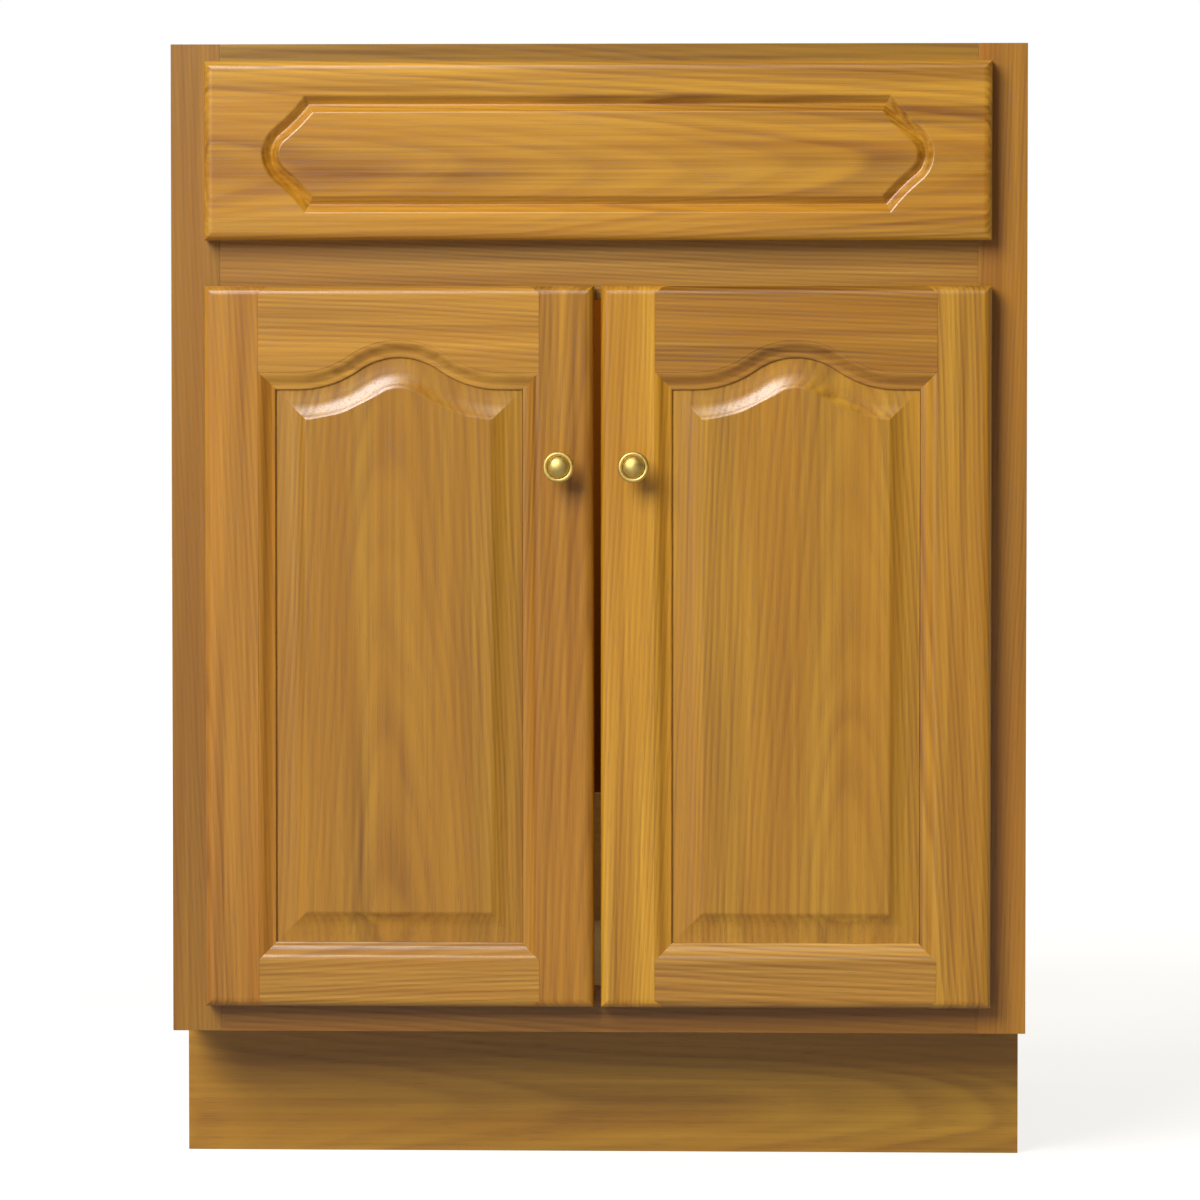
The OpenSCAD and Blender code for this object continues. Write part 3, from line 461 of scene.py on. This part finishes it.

# Each oak board: the way its grain runs, the place of its centre in the log in metres, its tint and how strong its
# figure is. The tints were fitted to how dark each board looks, so they hold the board's own tone and painted
# shade: the frame stiles beside the doors and the bottom rail below them are darkened for the shade that falls
# there, and the low blue of the tints offsets the pale reflections on the finish.
OAK_BOARDS = {
    "left_frame_stile": (UP, (0.075, 0.020, 0.3), (0.65, 0.59, 0.29), 1.0),
    "right_frame_stile": (UP, (-0.090, 0.015, 1.9), (0.81, 0.70, 0.37), 1.0),
    "top_frame_rail": (ACROSS, (0.030, 0.060, 2.7), (0.62, 0.66, 0.32), 1.6),
    "middle_frame_rail": (ACROSS, (0.110, 0.020, 3.5), (0.79, 0.78, 0.67), 1.5),
    "bottom_frame_rail": (ACROSS, (0.050, 0.050, 4.3), (0.70, 0.60, 0.32), 1.0),
    "toe_kick_board": (ACROSS, (0.020, 0.110, 5.1), (0.88, 0.88, 0.40), 1.0),
    "false_front": (ACROSS, (0.010, 0.085, 6.2), (0.99, 0.94, 0.46), 1.6),
    "left_door_hinge_stile": (UP, (0.055, 0.045, 7.4), (0.90, 0.78, 0.41), 1.1),
    "left_door_lock_stile": (UP, (-0.040, 0.055, 8.3), (0.86, 0.77, 0.38), 1.4),
    "left_door_top_rail": (ACROSS, (0.060, 0.060, 9.1), (0.98, 0.92, 0.60), 1.3),
    "left_door_bottom_rail": (ACROSS, (-0.070, 0.040, 10.4), (0.92, 0.92, 0.81), 1.6),
    "left_door_panel": (UP, (0.004, 0.085, 11.2), (0.83, 0.79, 0.37), 1.1),
    "right_door_hinge_stile": (UP, (0.050, 0.045, 12.5), (0.93, 0.90, 0.45), 1.5),
    "right_door_lock_stile": (UP, (-0.120, 0.020, 13.7), (1.10, 1.09, 0.50), 1.4),
    "right_door_top_rail": (ACROSS, (0.080, 0.035, 14.6), (0.81, 0.74, 0.40), 1.6),
    "right_door_bottom_rail": (ACROSS, (0.060, 0.060, 15.8), (0.88, 0.86, 0.79), 1.6),
    "right_door_panel": (UP, (-0.035, 0.070, 16.9), (0.91, 0.88, 0.41), 1.15),
}
PLAIN_TINT = (1.0, 1.0, 1.0)
SIDE_PANELS = {
    "left_side_panel": (SIDE_UP, (0.030, 0.100, 18.2), (1.06, 1.03, 0.80), 1.0),
    "right_side_panel": (SIDE_UP, (-0.020, 0.110, 19.6), (1.06, 1.03, 0.80), 1.0),
}
CASE_BOARDS = {
    "bottom_panel": (FLAT_ACROSS, (0.2, 0.1, 21.0)),
    "front_toe_rail": (ACROSS, (0.1, 0.1, 22.0)),
    "rear_toe_rail": (ACROSS, (0.1, 0.1, 23.0)),
    "lower_back_rail": (ACROSS, (0.04, 0.09, 24.0)),
    "upper_back_rail": (ACROSS, (0.05, 0.08, 25.0)),
    "front_left_brace": (FLAT_ACROSS, (0.03, 0.06, 26.0)),
    "front_right_brace": (FLAT_ACROSS, (0.04, 0.06, 26.5)),
    "back_left_brace": (FLAT_ACROSS, (0.05, 0.06, 27.0)),
    "back_right_brace": (FLAT_ACROSS, (0.02, 0.06, 27.5)),
    "left_front_cleat": (UP, (0.03, 0.05, 28.0)),
    "right_front_cleat": (UP, (0.05, 0.04, 29.0)),
    "rail_dowels": (ACROSS, (0.02, 0.02, 30.0)),
}


def new_object(name, bm, node, *materials):
    """An object from a finished mesh that rides and shows in place of a CAD node.

    Its normals are weighted by area, so the flat faces beside a moulding stay flat to the light.
    """
    mesh = bpy.data.meshes.new(name)
    bm.to_mesh(mesh)
    bm.free()
    for material in materials:
        mesh.materials.append(material)
    made = bpy.data.objects.new(name, mesh)
    bpy.context.scene.collection.objects.link(made)
    weighted = made.modifiers.new("Flat faces", "WEIGHTED_NORMAL")
    weighted.mode = "FACE_AREA"
    weighted.weight = 50
    weighted.keep_sharp = True
    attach(made, BODY_OF[node])
    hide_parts(node)
    return made


def merged_copy(node):
    """The CAD node's mesh with its loose triangles merged and its flat faces whole."""
    bm = bmesh.new()
    bm.from_mesh(CAD_NODES[node].data)
    bmesh.ops.remove_doubles(bm, verts=bm.verts, dist=MERGE_DISTANCE)
    bmesh.ops.dissolve_limit(bm, angle_limit=FLAT_ANGLE, verts=bm.verts, edges=bm.edges)
    return bm


def is_mitre(edge):
    """Whether the faces beside an edge slope in different directions, as two runs of moulding at a corner do."""
    slopes = [Vector((face.normal.x, face.normal.z)) for face in edge.link_faces]
    if min(slope.length for slope in slopes) < MITRE_SLOPE:
        return False
    return MITRE_TURN < slopes[0].angle(slopes[1]) < math.pi - MITRE_TURN


def ease_edges(bm, width, segments=2):
    """Eases the sharp outer edges, and smooths the shading where faces meet gently."""
    sharp = [e for e in bm.edges if e.is_manifold and e.is_convex and e.calc_face_angle() > SHARP_ANGLE]
    if width:
        bmesh.ops.bevel(bm, geom=sharp, offset=width, segments=segments, profile=0.6, affect="EDGES",
                        clamp_overlap=False)
    for face in bm.faces:
        face.smooth = True
    for edge in bm.edges:
        edge.smooth = not (edge.is_manifold and (edge.calc_face_angle() > SHARP_ANGLE or is_mitre(edge)))


def hollowed(climb):
    """The climb of a panel's raising at a point with this climb in the CAD, once its roll is drawn in to the field.

    The hollow and the roll of the CAD's raising turn to the same slope in about equal widths. Here the hollow takes
    most of the width, so that the light catches the raising once, beside the field. Nothing moves by more than 1 mm.
    """
    steepest = math.acos(1 - RAISING_CLIMB / (RAISING_HOLLOW + RAISING_ROLL))
    width = (RAISING_HOLLOW + RAISING_ROLL) * math.sin(steepest)
    if climb < RAISING_HOLLOW * (1 - math.cos(steepest)):
        along = math.sqrt(RAISING_HOLLOW**2 - (RAISING_HOLLOW - climb) ** 2)
    else:
        along = width - math.sqrt(RAISING_ROLL**2 - (RAISING_ROLL - max(RAISING_CLIMB - climb, 0.0)) ** 2)
    if along < HOLLOW_SHARE * width:
        radius = HOLLOW_SHARE * width / math.sin(steepest)
        return radius - math.sqrt(radius**2 - along**2)
    radius = (1 - HOLLOW_SHARE) * width / math.sin(steepest)
    return RAISING_CLIMB - radius + math.sqrt(radius**2 - (width - along) ** 2)


def hollow_raising(bm):
    """Draws in the roll of a raised panel's front."""
    margin = min(v.co.y for v in bm.verts) + RAISING_CLIMB
    for vertex in bm.verts:
        climb = margin - vertex.co.y
        if climb > 0.0:
            vertex.co.y = margin - hollowed(climb)


def note_log_place(made, grain, place, tint_and_shade, figure):
    """Stores each point's place in the log, with the board's centre at the given place, and the board's tint (its
    own tone with painted shade) and figure.
    """
    mesh = made.data
    corners = [Vector(c) for c in made.bound_box]
    centre = sum(corners, Vector()) / len(corners)
    at = mesh.attributes.new("log_place", "FLOAT_VECTOR", "POINT")
    for point, vertex in zip(at.data, mesh.vertices):
        point.vector = grain @ (vertex.co - centre) + Vector(place)
    tints_and_shade = mesh.attributes.new("board_tint_and_shade", "FLOAT_VECTOR", "POINT")
    for point in tints_and_shade.data:
        point.vector = tint_and_shade
    strengths = mesh.attributes.new("board_figure", "FLOAT", "POINT")
    for point in strengths.data:
        point.value = figure


def board(node, ease, grain, place, tint_and_shade, figure, *materials):
    """A board that takes a CAD node's place, with eased edges and its own place in the log."""
    bm = merged_copy(node)
    if node.endswith("door_panel"):
        hollow_raising(bm)
    ease_edges(bm, ease)
    made = new_object(node + "_board", bm, node, *materials)
    note_log_place(made, grain, place, tint_and_shade, figure)
    return made


class CABINET_OT_oak_boards(bpy.types.Operator):
    """Face frame, false front, toe kick and doors in golden oak"""

    bl_idname = "cabinet.oak_boards"
    bl_label = "Oak Boards"

    def execute(self, context):
        material = oak(context.scene)
        ease = context.scene.board_finish.ease
        for node, (grain, place, tint_and_shade, figure) in OAK_BOARDS.items():
            board(node, ease, grain, place, tint_and_shade, figure, material)
        return {"FINISHED"}


class CABINET_OT_side_panels(bpy.types.Operator):
    """Side panels with oak faces outside, laminate inside and chipboard edges"""

    bl_idname = "cabinet.side_panels"
    bl_label = "Side Panels"

    def execute(self, context):
        scene = context.scene
        for node, (grain, place, tint_and_shade, figure) in SIDE_PANELS.items():
            made = board(node, scene.board_finish.ease, grain, place, tint_and_shade, figure,
                         oak(scene), laminate(scene), chipboard(scene))
            outward = -1.0 if node.startswith("left") else 1.0
            for face in made.data.polygons:
                facing = face.normal.x * outward
                face.material_index = 0 if facing > 0.9 else 1 if facing < -0.9 else 2
        return {"FINISHED"}


class CABINET_OT_case_boards(bpy.types.Operator):
    """Bottom panel, rails, braces, cleats and dowels of the case"""

    bl_idname = "cabinet.case_boards"
    bl_label = "Case Boards"

    def execute(self, context):
        scene = context.scene
        for node, (grain, place) in CASE_BOARDS.items():
            made = board(node, scene.board_finish.ease, grain, place, PLAIN_TINT, 1.0,
                         lumber(scene), laminate(scene), chipboard(scene))
            if node == "bottom_panel":
                for face in made.data.polygons:
                    face.material_index = 1 if abs(face.normal.z) > 0.9 else 2
        return {"FINISHED"}


# Screws, made by one geometry tree from the places of the CAD screws

SCREW_NODES = [node for node, slot in SLOT_OF.items() if slot == "screw_steel"]
SCREW_INPUTS = (
    ("Seat Radius", "NodeSocketFloat"), ("Crown Radius", "NodeSocketFloat"), ("Head Height", "NodeSocketFloat"),
    ("Shank Radius", "NodeSocketFloat"), ("Shank Length", "NodeSocketFloat"), ("Recess Share", "NodeSocketFloat"),
    ("Seed", "NodeSocketInt"), ("Material", "NodeSocketMaterial"),
)


def screw_tree():
    """Geometry tree that sets a cross-recess screw on each point, its head turned to the point's axis."""
    if "Screws" in bpy.data.node_groups:
        return bpy.data.node_groups["Screws"]
    tree = bpy.data.node_groups.new("Screws", "GeometryNodeTree")
    tree.interface.new_socket("Geometry", in_out="INPUT", socket_type="NodeSocketGeometry")
    for label, kind in SCREW_INPUTS:
        tree.interface.new_socket(label, in_out="INPUT", socket_type=kind)
    tree.interface.new_socket("Geometry", in_out="OUTPUT", socket_type="NodeSocketGeometry")
    given = tree.nodes.new("NodeGroupInput").outputs

    def moved(shape, along, turn=0.0):
        place = add(tree, "ShaderNodeCombineXYZ", {"Z": along}).outputs[0]
        node = add(tree, "GeometryNodeTransform", {"Geometry": shape, "Translation": place})
        node.inputs["Rotation"].default_value = (0.0, 0.0, turn)
        return node.outputs[0]

    head = add(tree, "GeometryNodeMeshCone", {
        "Vertices": 32, "Radius Top": given["Crown Radius"], "Radius Bottom": given["Seat Radius"],
        "Depth": given["Head Height"]}).outputs["Mesh"]
    arm = maths(tree, "MULTIPLY", given["Crown Radius"], maths(tree, "MULTIPLY", given["Recess Share"], 2.0))
    slot_width = maths(tree, "MULTIPLY", arm, 0.22)
    size = add(tree, "ShaderNodeCombineXYZ", {"X": arm, "Y": slot_width, "Z": given["Head Height"]}).outputs[0]
    slot = add(tree, "GeometryNodeMeshCube", {"Size": size}).outputs["Mesh"]
    cut = add(tree, "GeometryNodeMeshBoolean", operation="DIFFERENCE", solver="EXACT")
    tree.links.new(head, cut.inputs["Mesh 1"])
    for turn in (0.0, math.pi / 2):
        tree.links.new(moved(slot, given["Head Height"], turn), cut.inputs["Mesh 2"])

    tip = maths(tree, "MULTIPLY", given["Shank Radius"], 2.0)
    straight = maths(tree, "SUBTRACT", given["Shank Length"], tip)
    shank = add(tree, "GeometryNodeMeshCone", {
        "Vertices": 16, "Radius Top": given["Shank Radius"], "Radius Bottom": given["Shank Radius"],
        "Depth": straight}).outputs["Mesh"]
    point = add(tree, "GeometryNodeMeshCone", {
        "Vertices": 16, "Radius Top": given["Shank Radius"],
        "Radius Bottom": maths(tree, "MULTIPLY", given["Shank Radius"], 0.2), "Depth": tip}).outputs["Mesh"]
    whole = add(tree, "GeometryNodeJoinGeometry")
    down = maths(tree, "MULTIPLY", given["Shank Length"], -1.0)
    for part in (cut.outputs["Mesh"], moved(shank, maths(tree, "ADD", down, tip)), moved(point, down)):
        tree.links.new(part, whole.inputs[0])

    axis = add(tree, "GeometryNodeInputNamedAttribute", {"Name": "axis"}, data_type="FLOAT_VECTOR")
    facing = add(tree, "FunctionNodeAlignRotationToVector", {"Vector": axis.outputs["Attribute"]}, axis="Z")
    turn = add(tree, "FunctionNodeRandomValue", {"Seed": given["Seed"]}, data_type="FLOAT")
    turn.inputs["Max"].default_value = math.pi
    spin = add(tree, "FunctionNodeAxisAngleToRotation", {"Angle": turn.outputs["Value"]})
    turned = add(tree, "FunctionNodeRotateRotation",
                 {"Rotation": facing.outputs[0], "Rotate By": spin.outputs[0]}, rotation_space="LOCAL")
    placed = add(tree, "GeometryNodeInstanceOnPoints",
                 {"Points": given["Geometry"], "Instance": whole.outputs[0], "Rotation": turned.outputs[0]})
    real = add(tree, "GeometryNodeRealizeInstances", {"Geometry": placed.outputs[0]})
    finished = add(tree, "GeometryNodeSetMaterial", {"Geometry": real.outputs[0], "Material": given["Material"]})
    tree.links.new(finished.outputs[0], tree.nodes.new("NodeGroupOutput").inputs[0])
    return tree


def screw_places(node):
    """Each solid screw of a CAD node as its seat, the way its head faces, and its sizes along that axis."""
    bm = merged_copy(node)
    bm.verts.ensure_lookup_table()
    loose, places = set(bm.verts), []
    while loose:
        reached, found = set(), [loose.pop()]
        while found:
            vertex = found.pop()
            reached.add(vertex)
            for edge in vertex.link_edges:
                other = edge.other_vert(vertex)
                if other in loose:
                    loose.discard(other)
                    found.append(other)
        points = [v.co.copy() for v in reached]
        low = Vector([min(p[i] for p in points) for i in range(3)])
        high = Vector([max(p[i] for p in points) for i in range(3)])
        middle, along = (low + high) / 2, max(range(3), key=lambda i: high[i] - low[i])

        def off_axis(point):
            offset = point - middle
            offset[along] = 0.0
            return offset.length

        seat_radius = max(off_axis(p) for p in points)
        seat_at = next(p[along] for p in points if off_axis(p) > seat_radius - MERGE_DISTANCE)
        side = 1.0 if seat_at > middle[along] else -1.0
        top, bottom = (high[along], low[along]) if side > 0 else (low[along], high[along])
        crown = max(off_axis(p) for p in points if abs(p[along] - top) < MERGE_DISTANCE)
        shank = max(off_axis(p) for p in points if side * (p[along] - seat_at) < -MERGE_DISTANCE)
        seat = middle.copy()
        seat[along] = seat_at
        axis = Vector([side if i == along else 0.0 for i in range(3)])
        places.append((seat, axis, {
            "Seat Radius": seat_radius, "Crown Radius": crown, "Head Height": abs(top - seat_at),
            "Shank Radius": shank, "Shank Length": abs(seat_at - bottom)}))
    bm.free()
    return places


def screws(node, material, seed):
    """The screws of a CAD node, made by the geometry tree as one plain mesh."""
    places = screw_places(node)
    mesh = bpy.data.meshes.new(node + "_places")
    mesh.from_pydata([tuple(seat) for seat, _, _ in places], [], [])
    axes = mesh.attributes.new("axis", "FLOAT_VECTOR", "POINT")
    for point, (_, axis, _) in zip(axes.data, places):
        point.vector = axis
    source = bpy.data.objects.new(node + "_places", mesh)
    bpy.context.scene.collection.objects.link(source)
    modifier = source.modifiers.new("Screws", "NODES")
    tree = screw_tree()
    modifier.node_group = tree
    values = {**places[0][2], "Recess Share": 0.68, "Seed": seed, "Material": material}
    for item in tree.interface.items_tree:
        if item.in_out == "INPUT" and item.name in values:
            modifier[item.identifier] = values[item.name]
    evaluated = source.evaluated_get(bpy.context.evaluated_depsgraph_get())
    made = bpy.data.meshes.new_from_object(evaluated)
    bm = bmesh.new()
    bm.from_mesh(made)
    source.modifiers.clear()
    bpy.data.objects.remove(source)
    for face in bm.faces:
        face.material_index = 0
    bmesh.ops.recalc_face_normals(bm, faces=bm.faces)
    if not bm.faces:
        raise RuntimeError("No screws were made for " + node)
    ease_edges(bm, 0.0)
    new_object(node + "_fitting", bm, node, material)


class CABINET_OT_screws(bpy.types.Operator):
    """Cross-recess screws of the case, the hinges and the knobs"""

    bl_idname = "cabinet.screws"
    bl_label = "Screws"

    def execute(self, context):
        material = metal("zinc_plate", context.scene.hardware.zinc, ZINC_ROUGHNESS)
        for number, node in enumerate(SCREW_NODES):
            screws(node, material, number)
        return {"FINISHED"}


class CABINET_OT_hardware(bpy.types.Operator):
    """Knobs, hinges, pins and bumpers"""

    bl_idname = "cabinet.hardware"
    bl_label = "Hardware"

    def execute(self, context):
        kit = context.scene.hardware
        finishes = {
            "knob_brass": metal("satin_brass", kit.brass, kit.brass_roughness),
            "hinge_steel": metal("nickel_plate", kit.nickel, NICKEL_ROUGHNESS),
            "bumper_rubber": clear_rubber(),
        }
        for node, slot in SLOT_OF.items():
            if slot in finishes:
                bm = merged_copy(node)
                ease_edges(bm, HARDWARE_EASE, segments=1)
                new_object(node + "_fitting", bm, node, finishes[slot])
        return {"FINISHED"}


# Studio


def aim(thing, place, target):
    """Puts a lamp or camera at a place, turned to its target."""
    thing.location = place
    thing.rotation_euler = (Vector(target) - Vector(place)).to_track_quat("-Z", "Y").to_euler()


class CABINET_OT_studio(bpy.types.Operator):
    """White floor, key light from the upper left and the camera"""

    bl_idname = "cabinet.studio"
    bl_label = "Studio"

    def execute(self, context):
        scene = context.scene
        studio = scene.studio
        self.add_floor(scene)
        self.add_painted_shade_wall(scene)
        self.add_world(scene, studio.fill)
        across, up = studio.aim
        middle = Vector((across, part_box("top_frame_rail")[0].y, up))

        key = bpy.data.lights.new("key_light", "AREA")
        key.shape = "RECTANGLE"
        key.size = studio.key_width
        key.size_y = studio.key_height
        key.energy = studio.key_power
        lamp = bpy.data.objects.new("key_light", key)
        scene.collection.objects.link(lamp)
        aim(lamp, middle + Vector(KEY_DIRECTION).normalized() * studio.key_distance, middle)

        camera = bpy.data.cameras.new("camera")
        camera.sensor_width = 36.0
        camera.lens = camera.sensor_width * studio.distance / studio.view_width
        seen = bpy.data.objects.new("camera", camera)
        scene.collection.objects.link(seen)
        level = math.cos(studio.elevation)
        away = Vector((math.sin(studio.azimuth) * level, -math.cos(studio.azimuth) * level,
                       math.sin(studio.elevation)))
        aim(seen, middle + away * studio.distance, middle)
        scene.camera = seen
        scene.view_settings.view_transform = "Standard"
        return {"FINISHED"}

    def add_floor(self, scene):
        """A wide pale floor, white to the camera but for the cabinet's shadow, and dim in reflections in front."""
        bm = bmesh.new()
        bmesh.ops.create_grid(bm, x_segments=8, y_segments=8, size=FLOOR_REACH)
        mesh = bpy.data.meshes.new("floor")
        bm.to_mesh(mesh)
        bm.free()
        material, tree, shader = new_material("white_floor")
        shader.inputs["Base Color"].default_value = FLOOR_GREY
        shader.inputs["Roughness"].default_value = 0.9
        shader.inputs["Emission Color"].default_value = WHITE
        path = add(tree, "ShaderNodeLightPath").outputs
        place = add(tree, "ShaderNodeTexCoord").outputs["Object"]
        away = add(tree, "ShaderNodeVectorMath", {0: place}, operation="LENGTH").outputs["Value"]
        glow = remap(tree, away, *FLOOR_GLOW_REACH, FLOOR_GLOW, 1.0)
        depth = add(tree, "ShaderNodeSeparateXYZ", {"Vector": place}).outputs["Y"]
        mirrored = maths(tree, "MAXIMUM", path["Is Glossy Ray"], path["Is Transmission Ray"])
        mirrored = maths(tree, "MULTIPLY", mirrored, remap(tree, depth, -0.4, 0.4, *FLOOR_MIRRORED))
        seen = maths(tree, "MAXIMUM", path["Is Camera Ray"], mirrored)
        tree.links.new(maths(tree, "MULTIPLY", seen, glow), shader.inputs["Emission Strength"])
        mesh.materials.append(material)
        floor = bpy.data.objects.new("floor", mesh)
        scene.collection.objects.link(floor)

    def add_painted_shade_wall(self, scene):
        """A wall of painted shade in the open back, seen from the front only, so that the gap of the doors isn't
        white:
        its dark brown stands in for the shade there.

        It casts no shadow and lights no board, but glossy boards mirror it. Its brown is a board's in the shade.
        """
        rail_low, rail_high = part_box("upper_back_rail")
        depth = (rail_low.y + rail_high.y) / 2
        top, bottom = rail_low.z + MM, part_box("lower_back_rail")[1].z - MM
        bm = bmesh.new()
        corners = ((rail_low.x, bottom), (rail_low.x, top), (rail_high.x, top), (rail_high.x, bottom))
        bm.faces.new([bm.verts.new((x, depth, z)) for x, z in reversed(corners)])
        mesh = bpy.data.meshes.new("painted_shade_wall")
        bm.to_mesh(mesh)
        bm.free()
        material, tree, shader = new_material("dark_wall")
        # Painted shade: the brown of a board in the cabinet's shade, standing in for the shade in the gap of the
        # doors.
        shader.inputs["Base Color"].default_value = opaque(linear(122, 64, 12))
        shader.inputs["Roughness"].default_value = 0.9
        shader.inputs["Specular IOR Level"].default_value = 0.0
        both = add(tree, "ShaderNodeMixShader")
        tree.links.new(add(tree, "ShaderNodeNewGeometry").outputs["Backfacing"], both.inputs[0])
        tree.links.new(shader.outputs[0], both.inputs[1])
        tree.links.new(add(tree, "ShaderNodeBsdfTransparent").outputs[0], both.inputs[2])
        tree.links.new(both.outputs[0], tree.nodes["Material Output"].inputs["Surface"])
        mesh.materials.append(material)
        wall = bpy.data.objects.new("painted_shade_wall", mesh)
        scene.collection.objects.link(wall)
        wall.visible_diffuse = wall.visible_transmission = wall.visible_shadow = False

    def add_world(self, scene, fill):
        """White to the camera, pale in reflections from behind, and a dim warm fill elsewhere."""
        world = bpy.data.worlds.new("studio_world")
        scene.world = world
        world.use_nodes = True
        tree = world.node_tree
        sky = tree.nodes["Background"]
        path = add(tree, "ShaderNodeLightPath").outputs
        direction = add(tree, "ShaderNodeTexCoord").outputs["Generated"]
        facing = add(tree, "ShaderNodeSeparateXYZ", {"Vector": direction}).outputs
        behind = remap(tree, facing["Y"], -0.1, 0.4)
        glow = remap(tree, facing["Z"], -0.1, 0.9, fill * 0.7, fill * 1.3)
        glow = maths(tree, "MULTIPLY", glow,
                     remap(tree, path["Is Glossy Ray"], 0.0, 1.0, 1.0, SKY_MIRRORED_IN_FRONT))
        glossy = maths(tree, "MULTIPLY", path["Is Glossy Ray"], SKY_MIRRORED)
        mirrored = maths(tree, "MULTIPLY", maths(tree, "MAXIMUM", glossy, path["Is Transmission Ray"]), behind)
        white = maths(tree, "MAXIMUM", path["Is Camera Ray"], mirrored)
        tree.links.new(mix(tree, white, FILL_COLOUR, WHITE), sky.inputs["Color"])
        tree.links.new(remap(tree, white, 0.0, 1.0, glow, 1.0), sky.inputs["Strength"])


OPERATORS = (
    CABINET_OT_studio, CABINET_OT_oak_boards, CABINET_OT_side_panels, CABINET_OT_case_boards,
    CABINET_OT_screws, CABINET_OT_hardware,
)


class CABINET_PT_pieces(bpy.types.Panel):
    """Lists the cabinet's pieces"""

    bl_label = "Vanity Base Cabinet"
    bl_space_type = "VIEW_3D"
    bl_region_type = "UI"
    bl_category = "Cabinet"

    def draw(self, context):
        for operator in OPERATORS:
            self.layout.operator(operator.bl_idname)


SETTINGS = {"oak_finish": OakFinish, "board_finish": BoardFinish, "hardware": Hardware, "studio": Studio}


def register():
    for kind in (*SETTINGS.values(), *OPERATORS, CABINET_PT_pieces):
        bpy.utils.register_class(kind)
    for name, kind in SETTINGS.items():
        setattr(bpy.types.Scene, name, PointerProperty(type=kind))


def unregister():
    for name in SETTINGS:
        delattr(bpy.types.Scene, name)
    for kind in reversed((*SETTINGS.values(), *OPERATORS, CABINET_PT_pieces)):
        bpy.utils.unregister_class(kind)


def main():
    register()
    for operator in OPERATORS:
        group, name = operator.bl_idname.split(".")
        getattr(getattr(bpy.ops, group), name)()


if __name__ == "__main__":
    main()
